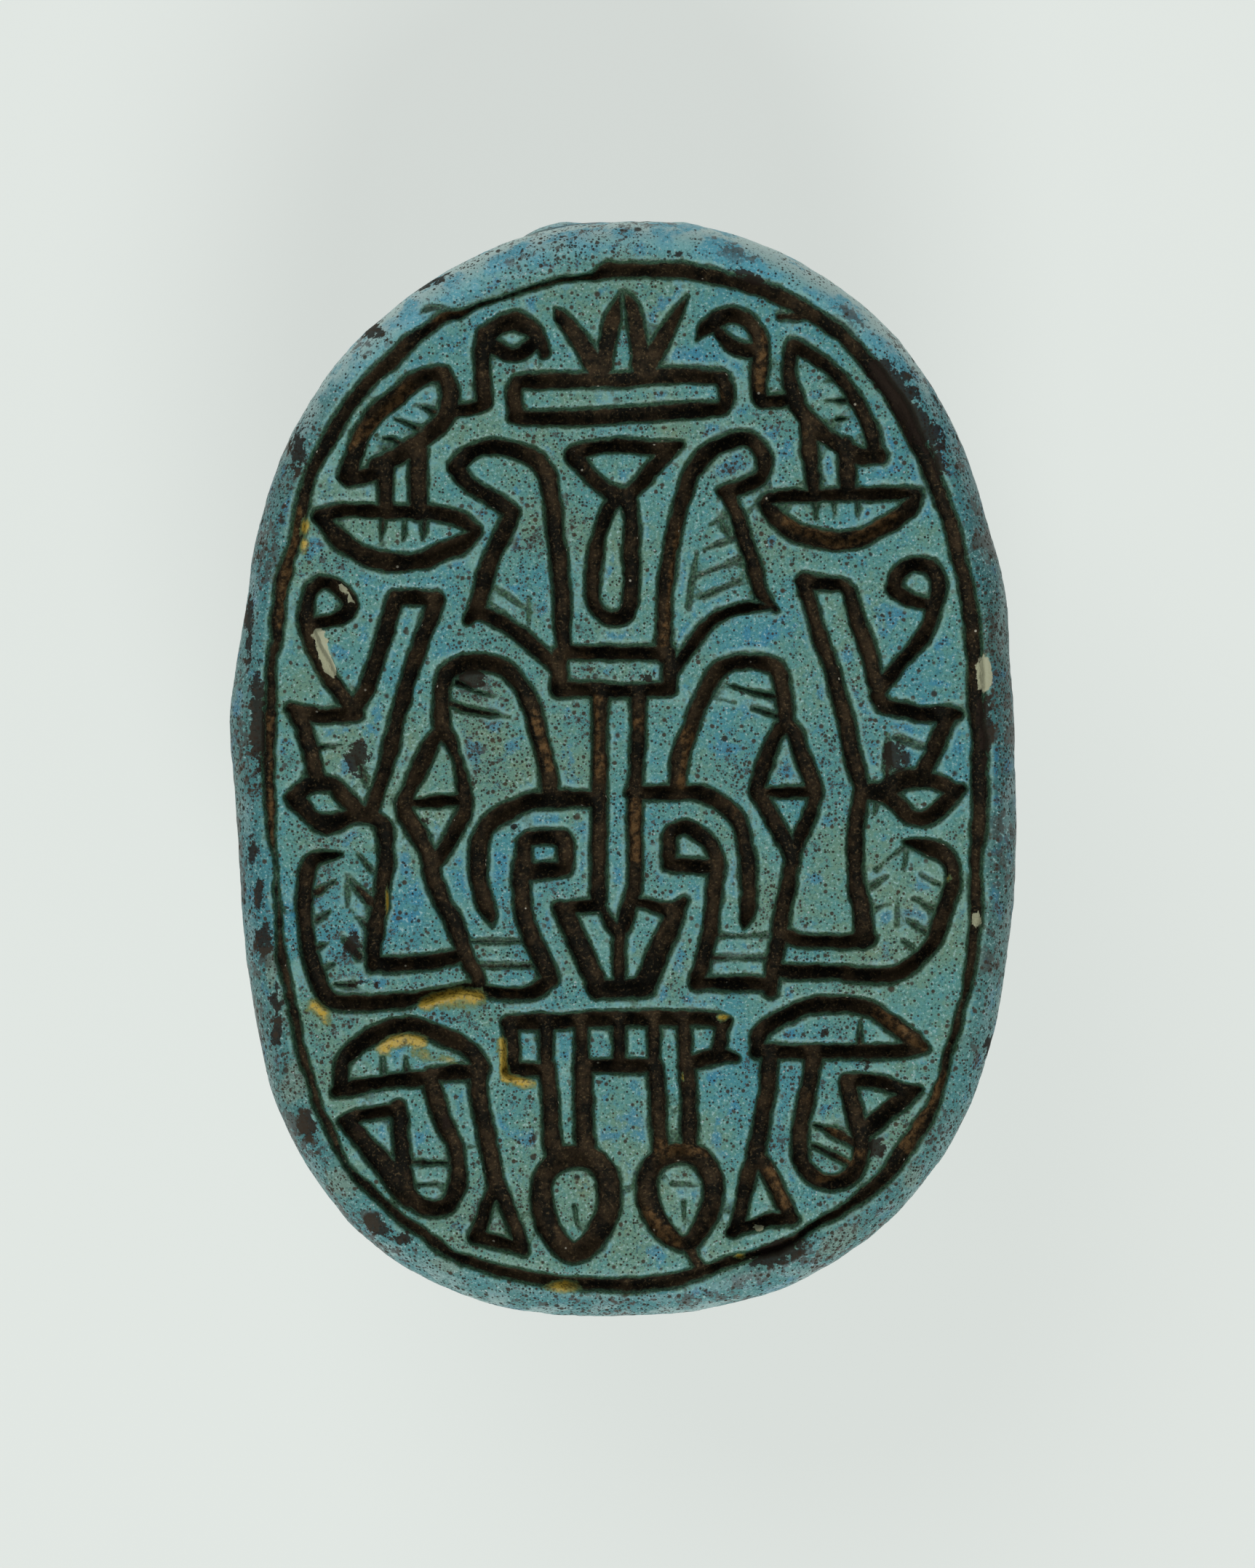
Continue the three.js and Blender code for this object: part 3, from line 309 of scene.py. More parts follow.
# oblong, its two stems and the barbed point
ring(.24, (-1.05, 1.86, .26), (.74, 1.84, .24), (.75, 1.24, .22), (-1.05, 1.25, .26))
stroke(.26, (-.385, 1.2), (-.39, .5), (-.4, -.5), (-.41, -1.5), (-.42, -2.2))
stroke(.24, (.25, 1.2, .25), (.23, .49), (.22, .27), (.207, 0), (.2, -.3), (.185, -.6), (.185, -1.25), (.185, -1.75),
       (.17, -2.0), (.12, -2.16), (.08, -2.34), (.0, -2.62))
stroke(.22, (-.43, -2.28), (-.71, -2.28), (-.93, -2.3), (-1.08, -2.28, .16))
stroke(.33, (-1.04, -2.28, .22), (-.95, -2.42), (-.87, -2.62), (-.765, -2.84), (-.66, -3.06), (-.57, -3.27),
       (-.47, -3.47), (-.42, -3.62))
stroke(.3, (-.45, -3.62), (0, -3.62), (.36, -3.6))
stroke(.2, (-.06, -2.65), (-.08, -2.93), (-.07, -3.36), (-.06, -3.6))
stroke(.17, (-.43, -2.2), (-.2, -2.6), (-.07, -2.78))
stroke(.24, (.16, -2.2, .16), (.436, -2.27, .2), (.654, -2.32), (.87, -2.3), (.97, -2.2, .16))
stroke(.35, (.9, -2.26, .22), (.785, -2.53, .3), (.7, -2.75), (.59, -2.97), (.5, -3.2), (.39, -3.43), (.33, -3.6))

# caps
stroke(.28, (-4.6, -4.86, .24), (-4.46, -4.68), (-4.28, -4.52), (-4.08, -4.39), (-3.86, -4.28), (-3.6, -4.22),
       (-3.385, -4.23), (-3.17, -4.3), (-2.95, -4.4), (-2.67, -4.52), (-2.455, -4.68), (-2.32, -4.92))
stroke(.25, (-4.7, -5.3, .2), (-4.385, -5.24), (-4.04, -5.17), (-3.69, -5.12), (-3.35, -5.09), (-3.0, -5.03),
       (-2.77, -4.99), (-2.36, -4.97))
stroke(.26, (-4.6, -4.86, .24), (-4.63, -5.28, .26))
stroke(.1, (-3.92, -4.72, .07), (-3.92, -5.0))
stroke(.1, (-3.55, -4.72, .06), (-3.55, -4.95))
stroke(.27, (2.18, -4.45), (2.22, -4.33), (2.34, -4.22), (2.52, -4.12), (2.74, -4.02), (2.95, -3.93), (3.236, -3.89),
       (3.56, -3.88), (3.846, -3.92), (4.1, -4.02), (4.326, -4.17), (4.54, -4.32), (4.72, -4.46), (4.93, -4.6, .16))
stroke(.24, (4.88, -4.62, .14), (4.54, -4.64), (4.11, -4.65), (3.67, -4.645), (3.236, -4.65), (2.725, -4.665),
       (2.46, -4.655), (2.18, -4.63))
stroke(.24, (2.18, -4.35), (2.18, -4.65))
stroke(.12, (3.85, -4.15, .07), (3.84, -4.5))

# comb and its two drops
stroke(.26, (-1.87, -4.2), (-1.58, -4.17), (-1.26, -4.17), (-.82, -4.15), (-.385, -4.12), (.05, -4.11), (.65, -4.11),
       (1.09, -4.11), (1.42, -4.125), (1.62, -4.17))
stroke(.23, (1.6, -4.17), (1.58, -4.45), (1.53, -4.74))
stroke(.26, (-1.85, -4.2), (-1.83, -4.6), (-1.846, -4.95))
stroke(.24, (-1.86, -4.95), (-1.27, -4.95))
stroke(.24, (-.69, -4.88), (.49, -4.88))
stroke(.25, (.99, -4.87), (1.38, -4.76), (1.615, -4.715), (1.82, -4.76, .16))
stroke(.24, (-1.27, -4.17), (-1.27, -4.95))
stroke(.22, (-.69, -4.15), (-.69, -4.95))
stroke(.2, (-.08, -4.15), (-.08, -4.88))
stroke(.2, (.49, -4.15), (.49, -4.9))
stroke(.22, (.99, -4.15), (.99, -4.9))
stroke(.29, (-1.24, -4.9), (-1.2, -5.52), (-1.18, -5.87), (-1.14, -6.3))
stroke(.31, (-.66, -4.9), (-.66, -5.52), (-.65, -5.98), (-.62, -6.36))
ring(.37, (-.92, -6.37), (-.69, -6.36), (-.47, -6.43), (-.31, -6.6), (-.25, -6.81), (-.24, -7.02), (-.26, -7.25),
     (-.36, -7.48), (-.47, -7.7), (-.65, -7.88), (-.85, -7.93), (-1.03, -7.8), (-1.16, -7.62), (-1.27, -7.41),
     (-1.33, -7.18), (-1.34, -6.91), (-1.3, -6.69), (-1.18, -6.51), sharp=80)
stroke(.07, (-.8, -7.16), (-.76, -7.44, .04))
stroke(.28, (.52, -4.88), (.565, -5.52), (.59, -5.98), (.6, -6.33))
stroke(.28, (1.03, -4.85), (1.06, -5.5), (1.06, -6.3))
ring(.34, (.877, -6.3), (1.1, -6.31), (1.25, -6.4), (1.38, -6.57), (1.46, -6.77), (1.46, -6.98), (1.42, -7.2),
     (1.33, -7.42), (1.21, -7.62, .31), (1.07, -7.75, .27), (.88, -7.76, .27), (.72, -7.65, .31), (.58, -7.48), (.45, -7.25),
     (.38, -6.98), (.38, -6.75), (.45, -6.54), (.6, -6.39), sharp=80)
stroke(.06, (.785, -6.8), (1.22, -6.83, .03), deep=.06)
stroke(.07, (.97, -7.1), (.99, -7.5, .04), deep=.08)
stroke(.17, (1.08, -7.88), (1.25, -8.18), deep=.14)

# leg with a foot, left and right
stroke(.28, (-2.35, -4.9), (-2.37, -5.18), (-2.34, -5.52), (-2.26, -5.87), (-2.19, -6.2), (-2.14, -6.56),
       (-2.08, -6.9, .25))
stroke(.24, (-2.09, -6.82), (-2.16, -7.0), (-2.26, -7.2), (-2.31, -7.44), (-2.42, -7.68, .2))
stroke(.25, (-2.05, -6.82), (-1.96, -7.05), (-1.87, -7.25), (-1.78, -7.48), (-1.66, -7.8))
stroke(.23, (-2.42, -7.66), (-2.08, -7.74), (-1.85, -7.82), (-1.62, -7.9, .18))
stroke(.27, (2.4, -4.7), (2.365, -4.95), (2.36, -5.18), (2.32, -5.41), (2.27, -5.64), (2.24, -5.87), (2.19, -6.1),
       (2.15, -6.4))
stroke(.25, (2.15, -6.36), (2.05, -6.6), (2.0, -6.79), (1.96, -7.02), (1.915, -7.25), (1.82, -7.56))
stroke(.25, (2.16, -6.36), (2.3, -6.53), (2.42, -6.75), (2.515, -6.95), (2.61, -7.14), (2.72, -7.38))
stroke(.23, (1.78, -7.58), (2.08, -7.48), (2.31, -7.415), (2.54, -7.39), (2.78, -7.39, .18))

# looped leg, left and right
stroke(.28, (-3.16, -5.05), (-3.1, -5.3), (-3.03, -5.55), (-2.93, -5.8), (-2.83, -6.0), (-2.75, -6.2), (-2.7, -6.5),
       (-2.7, -6.77), (-2.76, -6.99), (-2.87, -7.15), (-3.03, -7.21), (-3.23, -7.19), (-3.42, -7.08), (-3.53, -6.93),
       (-3.577, -6.68), (-3.6, -6.45), (-3.62, -6.2), (-3.65, -5.98), (-3.65, -5.75), (-3.68, -5.55), sharp=80)
stroke(.13, (-3.5, -6.46), (-2.85, -6.46, .1), deep=.12)
stroke(.07, (-3.5, -6.84), (-3.05, -6.8, .04))
stroke(.22, (-4.6, -5.77, .14), (-4.385, -5.71), (-4.04, -5.65), (-3.66, -5.6, .24))
stroke(.3, (-4.56, -5.78, .18), (-4.36, -5.98, .28), (-4.12, -6.25, .33), (-3.94, -6.46, .33), (-3.8, -6.66), (-3.67, -6.88),
       (-3.5, -7.06))
stroke(.27, (3.11, -4.7), (3.06, -4.95), (3.02, -5.18), (2.97, -5.41), (2.93, -5.64), (2.89, -5.87), (2.87, -6.1),
       (2.87, -6.35), (2.95, -6.54), (3.1, -6.7), (3.26, -6.78), (3.49, -6.79), (3.68, -6.7), (3.8, -6.53),
       (3.86, -6.33), (3.87, -6.1), (3.815, -5.87), (3.77, -5.64), (3.7, -5.41), (3.64, -5.14), sharp=80)
stroke(.22, (3.64, -5.12), (3.95, -5.13), (4.18, -5.15), (4.415, -5.22), (4.62, -5.3), (4.8, -5.29, .16))
stroke(.28, (4.72, -5.32, .2), (4.55, -5.45), (4.37, -5.57), (4.18, -5.73), (4.02, -5.87), (3.86, -5.98))
stroke(.15, (3.1, -5.84, .08), (3.5, -6.0, .18), (3.72, -6.14, .16), deep=.16)
stroke(.12, (3.06, -6.17, .08), (3.4, -6.33, .14), (3.68, -6.46, .12), deep=.13)


# ------------------------------------------------------------------ plain number work
def smooth(t):
    t = np.clip(t, 0, 1)
    return t * t * (3 - 2 * t)


def lattice_noise(points, size, seed):
    """Smooth noise from -1 to 1 at rows of points, with cells of the given size."""
    p = np.asarray(points, np.float32) / size
    i = np.floor(p).astype(np.int64)
    f = (p - i).astype(np.float32)
    f = f * f * (3 - 2 * f)
    out = np.zeros(len(p), np.float32)
    n = p.shape[1]
    for corner in range(2 ** n):
        w = np.ones(len(p), np.float32)
        h = np.full(len(p), (seed * 2654435761) & 0xFFFFFFFF, np.uint64)
        for k in range(n):
            b = (corner >> k) & 1
            w = w * (f[:, k] if b else 1 - f[:, k])
            h = (h ^ ((i[:, k] + b + 7919).astype(np.uint64) * np.uint64((73856093, 19349663, 83492791)[k])))
            h = (h * np.uint64(6364136223846793005) + np.uint64(1442695040888963407))
            h ^= h >> np.uint64(29)
        v = ((h >> np.uint64(11)) & np.uint64(0xFFFFFF)).astype(np.float32) / np.float32(0xFFFFFF)
        out += w * (2 * v - 1)
    return out


def layered(points, size, seed, turns=3, fall=.5):
    out, amount, total = 0, 1.0, 0.0
    for k in range(turns):
        out = out + amount * lattice_noise(points, size / 2 ** k, seed + 17 * k)
        total += amount
        amount *= fall
    return out / total


# ------------------------------------------------------------------ maps on the base, seen from above
STEP = .02
X0, X1, Y0, Y1 = -6.7, 6.7, -9.3, 9.3
gx = np.arange(X0, X1 + STEP / 2, STEP)
gy = np.arange(Y0, Y1 + STEP / 2, STEP)
GX, GY = np.meshgrid(gx, gy, indexing="ij")
plan = np.stack([GX.ravel(), GY.ravel()], 1)


def on_map(values):
    return values.reshape(GX.shape)


def sample(grid, x, y):
    """Values of a map at places, straight-line between its points."""
    u = np.clip((x - X0) / STEP, 0, len(gx) - 1.001)
    v = np.clip((y - Y0) / STEP, 0, len(gy) - 1.001)
    i, j = u.astype(np.int32), v.astype(np.int32)
    a, b = (u - i).astype(np.float32), (v - j).astype(np.float32)
    return ((grid[i, j] * (1 - a) + grid[i + 1, j] * a) * (1 - b)
            + (grid[i, j + 1] * (1 - a) + grid[i + 1, j + 1] * a) * b)


def smooth_line(points, width, sharp):
    """A stroke's centreline as close points with widths, rounded between its corners."""
    p = np.array([flat(q[0], q[1]) for q in points])
    w = np.array([q[2] if len(q) > 2 else width for q in points])
    cuts = [0]
    for k in range(1, len(p) - 1):
        a, b = p[k] - p[k - 1], p[k + 1] - p[k]
        c = np.dot(a, b) / (np.linalg.norm(a) * np.linalg.norm(b) + 1e-9)
        if math.degrees(math.acos(max(-1, min(1, c)))) > sharp:
            cuts.append(k)
    cuts.append(len(p) - 1)
    runs = []
    for s, e in zip(cuts, cuts[1:]):
        q, v = p[s:e + 1], w[s:e + 1]
        if len(q) == 2:
            n = max(2, int(np.linalg.norm(q[1] - q[0]) / .08) + 1)
            t = np.linspace(0, 1, n)[:, None]
            runs.append((q[0] * (1 - t) + q[1] * t, v[0] * (1 - t[:, 0]) + v[1] * t[:, 0]))
            continue
        ext = np.vstack([2 * q[0] - q[1], q, 2 * q[-1] - q[-2]])
        xs, ws = [], []
        for k in range(len(q) - 1):
            p0, p1, p2, p3 = ext[k:k + 4]
            n = max(2, int(np.linalg.norm(p2 - p1) / .06) + 1)
            t = np.linspace(0, 1, n, endpoint=k == len(q) - 2)[:, None]
            xs.append(.5 * (2 * p1 + (p2 - p0) * t + (2 * p0 - 5 * p1 + 4 * p2 - p3) * t ** 2
                            + (3 * p1 - p0 - 3 * p2 + p3) * t ** 3))
            ws.append(v[k] * (1 - t[:, 0]) + v[k + 1] * t[:, 0])
        runs.append((np.vstack(xs), np.concatenate(ws)))
    return runs


# A cutter's hand: the edges wander a little.
wander = on_map(.018 * lattice_noise(plan, .34, 3) + .015 * lattice_noise(plan, .12, 4)
                + .007 * lattice_noise(plan, .06, 5)).astype(np.float32)
edge = np.full(GX.shape, 9.0, np.float32)       # distance to the nearest stroke's edge, below zero inside
cut = np.zeros(GX.shape, np.float32)            # depth cut away by the strokes
REACH = .62
for width, deep, sharp, points in STROKES:
    for line, widths in smooth_line(points, width, sharp):
        for a, b, wa, wb in zip(line, line[1:], widths, widths[1:]):
            lo, hi = np.minimum(a, b) - REACH, np.maximum(a, b) + REACH
            i0, i1 = max(0, int((lo[0] - X0) / STEP)), int((hi[0] - X0) / STEP) + 2
            j0, j1 = max(0, int((lo[1] - Y0) / STEP)), int((hi[1] - Y0) / STEP) + 2
            x, y = GX[i0:i1, j0:j1], GY[i0:i1, j0:j1]
            d = b - a
            t = np.clip(((x - a[0]) * d[0] + (y - a[1]) * d[1]) / max(d @ d, 1e-9), 0, 1)
            w = wa * (1 - t) + wb * t
            w = w + .05 * np.clip((w - .06) / .12, 0, 1)
            g = np.hypot(x - a[0] - t * d[0], y - a[1] - t * d[1]) - w / 2 + wander[i0:i1, j0:j1]
            floor = np.minimum(.04 + 1.06 * w, .31) if deep is None else np.minimum(deep, .04 + 1.1 * w)
            wall = np.clip(.42 * w, .03, .1)
            c = floor * np.sin(np.clip(-g / wall, 0, 1) * (math.pi / 2)) ** 1.15
            edge[i0:i1, j0:j1] = np.minimum(edge[i0:i1, j0:j1], g)
            cut[i0:i1, j0:j1] = np.maximum(cut[i0:i1, j0:j1], c)

# ------------------------------------------------------------------ outline and rim
# Half widths of the seen outline, from the head end to the tail end: y, left x, right x.
OUTLINE = ((8.28, -2.42, 2.71), (7.57, -3.58, 3.82), (6.86, -4.42, 4.54), (6.15, -4.96, 5.07),
           (5.44, -5.45, 5.39), (4.73, -5.68, 5.71), (4.02, -5.9, 5.88), (3.31, -6.06, 6.1), (2.6, -6.15, 6.25),
           (1.89, -6.26, 6.28), (1.18, -6.39, 6.31), (.47, -6.4, 6.35), (-.24, -6.32, 6.37), (-.95, -6.29, 6.39),
           (-1.66, -6.27, 6.37), (-2.37, -6.22, 6.32), (-3.08, -6.14, 6.22), (-3.8, -6.03, 6.12),
           (-4.51, -5.9, 5.97), (-5.22, -5.74, 5.76), (-5.93, -5.46, 5.44), (-6.64, -5.07, 4.97),
           (-7.35, -4.52, 4.36), (-8.06, -3.69, 3.4), (-8.77, -2.1, 1.59))


def oval(a):
    """The fair oval of the base about (0, -0.24)."""
    c, s = np.abs(np.cos(a)), np.abs(np.sin(a))
    head = np.sin(a) >= 0
    b, n = np.where(head, 9.17, 8.75), np.where(head, 2.2, 2.47)
    return ((c / 6.38) ** n + (s / b) ** n) ** (-1 / n)


ANGLES = np.linspace(-math.pi, math.pi, 721)
ours = []
for y, left, right in OUTLINE:
    for x in (left, right):
        a = math.atan2(y + .24, x)
        ours.append((a, math.hypot(x, y + .24) / oval(np.array(a)) - 1))
ours.sort()
ka = np.array([a for a, _ in ours])
kr = np.clip(np.array([r for _, r in ours]), -.02, .02)
ka = np.concatenate([ka - 2 * math.pi, ka, ka + 2 * math.pi])
kr = np.concatenate([kr, kr, kr])
drift = np.interp(ANGLES, ka, kr)
kernel = np.hanning(25)
kernel /= kernel.sum()
drift = np.convolve(np.concatenate([drift[-13:-1], drift, drift[1:13]]), kernel, "valid")


def inset_of(x, y):
    """Distance in from the outline, below zero outside."""
    a = np.arctan2(y + .24, x)
    rho = np.hypot(x, y + .24)
    e = 2e-3
    r = oval(a) * (1 + np.interp(a, ANGLES, drift))
    slope = (oval(a + e) - oval(a - e)) / (2 * e)
    return (r - rho) / np.sqrt(1 + (slope / np.maximum(rho, 1)) ** 2)


inset = on_map(inset_of(plan[:, 0], plan[:, 1])).astype(np.float32)
# nicks and worn places along the rim
rough = on_map(layered(plan, .9, 11)).astype(np.float32)
fine = on_map(layered(plan, .28, 12)).astype(np.float32)
angle_map = np.arctan2(GY + .24, GX)
inset += (.018 * rough + .012 * fine) * smooth(1.2 - inset)

ROLL = .52


def roll(s):
    """How far the rim has rolled down at a distance in from the outline."""
    t = np.clip(1 - s / ROLL, 0, 1)
    return RIM_DEPTH * (1 - np.sqrt(np.maximum(0, 1 - t ** 2.1)))


# ------------------------------------------------------------------ the base as heights
base = roll(np.maximum(inset, 0)).astype(np.float32)
face_swell_and_rim_highlight = on_map(.03 * lattice_noise(plan, 2.6, 21) + .012 * lattice_noise(plan, .7, 22)
               + .004 * lattice_noise(plan, .16, 23)).astype(np.float32)
inner = smooth((inset - .3) / .5)
base += (face_swell_and_rim_highlight * inner + .05 * smooth(1 - (inset - .5) / .9)).astype(np.float32) * smooth(inset / .2)
# the edge of each stroke is worn round
lip = np.clip(1 - np.maximum(edge, 0) / .07, 0, 1) ** 2
base += .016 * lip
floor_grain = on_map(.5 * lattice_noise(plan, .09, 31) + .5 * lattice_noise(plan, .2, 32)).astype(np.float32)
base += cut * (1 + .1 * floor_grain)


def dent(cx, cy, rx, ry, depth, turn=0.0, power=2.0, ragged=.25):
    """A chip or hollow in the base."""
    cx, cy = flat(cx, cy)
    c, s = math.cos(turn), math.sin(turn)
    u, v = (GX - cx) * c + (GY - cy) * s, -(GX - cx) * s + (GY - cy) * c
    q = np.hypot(u / rx, v / ry) * (1 + ragged * fine)
    return (depth * np.clip(1 - q ** power, 0, 1)).astype(np.float32)


base += dent(4.75, 5.6, .24, .42, .13, turn=.45)                 # dark chip at the right shoulder
base += dent(4.95, 5.35, .18, .3, .06, turn=.4)
base += dent(-1.9, 7.85, 1.5, .13, .07, turn=.27)                # line torn outward at the head end
base += dent(-.55, 8.0, .3, .1, .1, turn=.3)
base += dent(2.5, -7.93, .55, .2, .1, turn=.3)                   # broad bruise by the tail
base += dent(3.3, -8.0, .5, .25, .05, turn=.5)
base += dent(-1.75, 8.35, .1, .1, .06) + dent(-1.15, 8.33, .05, .05, .05) + dent(-1.5, 8.37, .05, .05, .05)
base += dent(-2.2, 8.05, .12, .2, .05, turn=-.5)
base += dent(-1.78, -1.0, .07, .07, .07) + dent(.4, 1.45, .09, .1, .08) + dent(3.28, -4.33, .06, .06, .04)
base += dent(-5.15, -5.85, .13, .2, .07) + dent(-4.0, -7.5, .2, .1, .06, turn=-.8)
base += dent(-5.9, -2.8, .1, .5, .06) + dent(-5.65, -3.7, .07, .3, .05) + dent(-5.55, -4.4, .06, .25, .05)
rng = np.random.default_rng(5)
for _ in range(420):                                              # open pores
    x, y = rng.uniform(-6.2, 6.2), rng.uniform(-8.9, 8.9)
    r = .028 + .045 * rng.random() ** 3
    i, j = int((x - X0) / STEP), int((y - Y0) / STEP)
    if inset[i, j] < .1 or edge[i, j] < .05:
        continue
    k = int(r * 2.2 / STEP) + 1
    w = np.s_[i - k:i + k + 1, j - k:j + k + 1]
    q = np.hypot(GX[w] - x, GY[w] - y) / r
    base[w] += (.5 * r * np.exp(-q ** 2 * 1.4)).astype(np.float32)

# ------------------------------------------------------------------ lines carved in the beetle's back
def carve(strokes, lift=0.0):
    """Depth map of rounded lines."""
    out = np.zeros(GX.shape, np.float32)
    for width, deep, points in strokes:
        for line, widths in smooth_line(points, width, 60):
            for a, b, wa, wb in zip(line, line[1:], widths, widths[1:]):
                lo, hi = np.minimum(a, b) - .5, np.maximum(a, b) + .5
                i0, i1 = max(0, int((lo[0] - X0) / STEP)), int((hi[0] - X0) / STEP) + 2
                j0, j1 = max(0, int((lo[1] - Y0) / STEP)), int((hi[1] - Y0) / STEP) + 2
                x, y = GX[i0:i1, j0:j1], GY[i0:i1, j0:j1]
                d = b - a
                t = np.clip(((x - a[0]) * d[0] + (y - a[1]) * d[1]) / max(d @ d, 1e-9), 0, 1)
                w = wa * (1 - t) + wb * t
                g = np.hypot(x - a[0] - t * d[0], y - a[1] - t * d[1]) + wander[i0:i1, j0:j1]
                out[i0:i1, j0:j1] = np.maximum(out[i0:i1, j0:j1], deep * np.clip(1 - (g / (w / 2)) ** 2, 0, 1))
    return out


def bow(x, mid, rise, half):
    return mid + rise * (x / half) ** 2


BACK = []
half = 5.5
BACK.append((.3, .17, [(x, bow(x, 2.3, .9, half)) for x in np.linspace(-half, half, 23)]))
BACK.append((.16, .07, [(x, bow(x, 2.62, .9, half)) for x in np.linspace(-half, half, 23)]))
BACK.append((.24, .16, [(-.13, 2.25), (-.13, -2), (-.12, -5), (-.06, -8.3)]))
BACK.append((.24, .16, [(.13, 2.25), (.13, -2), (.12, -5), (.06, -8.3)]))
for s in (-1, 1):
    BACK.append((.26, .15, [(s * 4.9, 2.85), (s * 4.1, 1.35, .2), (s * 3.5, 2.6, .3)]))      # shoulder notch
    BACK.append((.22, .12, [(s * (.2 + 4.7 * math.sin(k)), -1.2 - 6.1 * math.cos(k)) for k in
                            np.linspace(.12, 1.72, 15)]))                                     # edge of the wing case
    BACK.append((.22, .14, [(s * 1.15, 5.25), (s * 1.3, 6.3), (s * 1.1, 7.5), (s * .85, 8.5)]))  # cheek
    BACK.append((.16, .1, [(s * .35, 7.6), (s * .5, 8.9)]))                                    # notched brow
BACK.append((.28, .17, [(x, 5.2 - .12 * (x / 2.6) ** 2) for x in np.linspace(-2.7, 2.7, 13)]))
BACK.append((.18, .1, [(-1.1, 7.45), (0, 7.2), (1.1, 7.45)]))
back_cut = carve(BACK)


# ------------------------------------------------------------------ the whole solid
def blend_min(a, b, k):
    h = np.clip(.5 + .5 * (b - a) / k, 0, 1)
    return b * (1 - h) + a * h - k * h * (1 - h)


def blend_max(a, b, k):
    return -blend_min(-a, -b, k)


LEGS = ((30, 66, 3.1, 2.25), (33, -20, 3.7, 2.35), (4, -66, 3.95, 2.3))


def of_plan(x, y):
    """Everything about a place that doesn't change with depth."""
    a = np.arctan2(y + .24, np.abs(x))
    rho = np.hypot(x, y + .24)
    yy = y + .95
    u = ((np.abs(x) / 5.75) ** 2.3 + (np.abs(yy) / np.where(yy > 0, 7.4, 7.72)) ** 2.3) ** (1 / 2.3)
    return (sample(base, x, y), sample(inset, x, y), sample(back_cut, x, y), a, rho, u, rho - oval(a) + .78,
            (np.abs(x) / 2.35) ** 3)


SCALE_V = (1 - .27 ** 2.2) ** (1 / 2.3) / 6.3


def field(x, y, d, known=None):
    """Above zero outside the solid, below zero inside; near its surface about a distance."""
    top, s, line, a, rho, u, off, hx = known if known is not None else of_plan(x, y)
    under = np.interp(d, (0, .85, 1.0, 1.25, 1.55, 1.8), (0, 0, .01, .05, .18, .5))
    plate = blend_max(blend_max(top - d, (under - s) * np.where(np.asarray(d) < .85, .5, 1.0), .03), d - 1.82, .2)
    v = np.maximum(d - 1.5, 0) * SCALE_V
    dome = ((u ** 2.2 + v ** 2.3) ** (1 / 2.25) - 1) * 4.6 + line * smooth((np.asarray(d) - 1.9) / .5)
    dome = np.maximum(dome, .9 - d)
    lean = y - .13 * np.maximum(np.asarray(d) - 2.0, 0) * smooth((y - 7.2) / 1.2)
    head = ((hx + (np.abs(lean - 6.72) / 2.24) ** 3 + (np.abs(d - 2.62) / 2.45) ** 3) ** (1 / 3) - 1) * 2.3
    head = head + line * smooth((np.asarray(d) - 3.4) / .5)
    body = blend_min(dome, head, .35)
    for a0, a1, d0, d1 in LEGS:
        a0, a1 = math.radians(a0), math.radians(a1)
        t = np.clip((a - a0) / (a1 - a0), 0, 1)
        k = .35 + .65 * np.sin(math.pi * np.minimum(1, .12 + .84 * t)) ** .6
        past = (a - (a0 + (a1 - a0) * t)) * rho
        leg = (np.sqrt((off / (.46 * k)) ** 2 + ((d - d0 - (d1 - d0) * t) / (.4 * k)) ** 2 + (past / .4) ** 2) - 1) * .4 * k
        ribs = .5 + .5 * np.sin(a * rho * (2 * math.pi / .46))
        leg = leg + .035 * ribs * smooth((off + .1) / .2)
        body = blend_min(body, leg, .14)
    body = blend_max(body, d - HEIGHT, .12)
    solid = blend_min(plate, body, .12)
    flare = .85 + .16 * smooth((np.abs(y + .0) - 8.2) / .9)
    return blend_max(solid, flare - np.hypot(x, d - 2.95), .1)


xy_step, fine_d, coarse_d = .045, .036, .085
vx = np.arange(-6.62, 6.66, xy_step)
vy = np.arange(-9.2, 9.5, xy_step)
vd = [-.12]
while vd[-1] < HEIGHT + .15:
    vd.append(vd[-1] + (fine_d if vd[-1] < .95 else min(coarse_d, fine_d + (vd[-1] - .95) * .15)))
vd = np.array(vd)
AX, AY = np.meshgrid(vx, vy, indexing="ij")
fixed = of_plan(AX, AY)
volume = np.empty((len(vx), len(vy), len(vd)), np.float32)
for k, d in enumerate(vd):
    volume[:, :, k] = field(AX, AY, float(d), fixed)


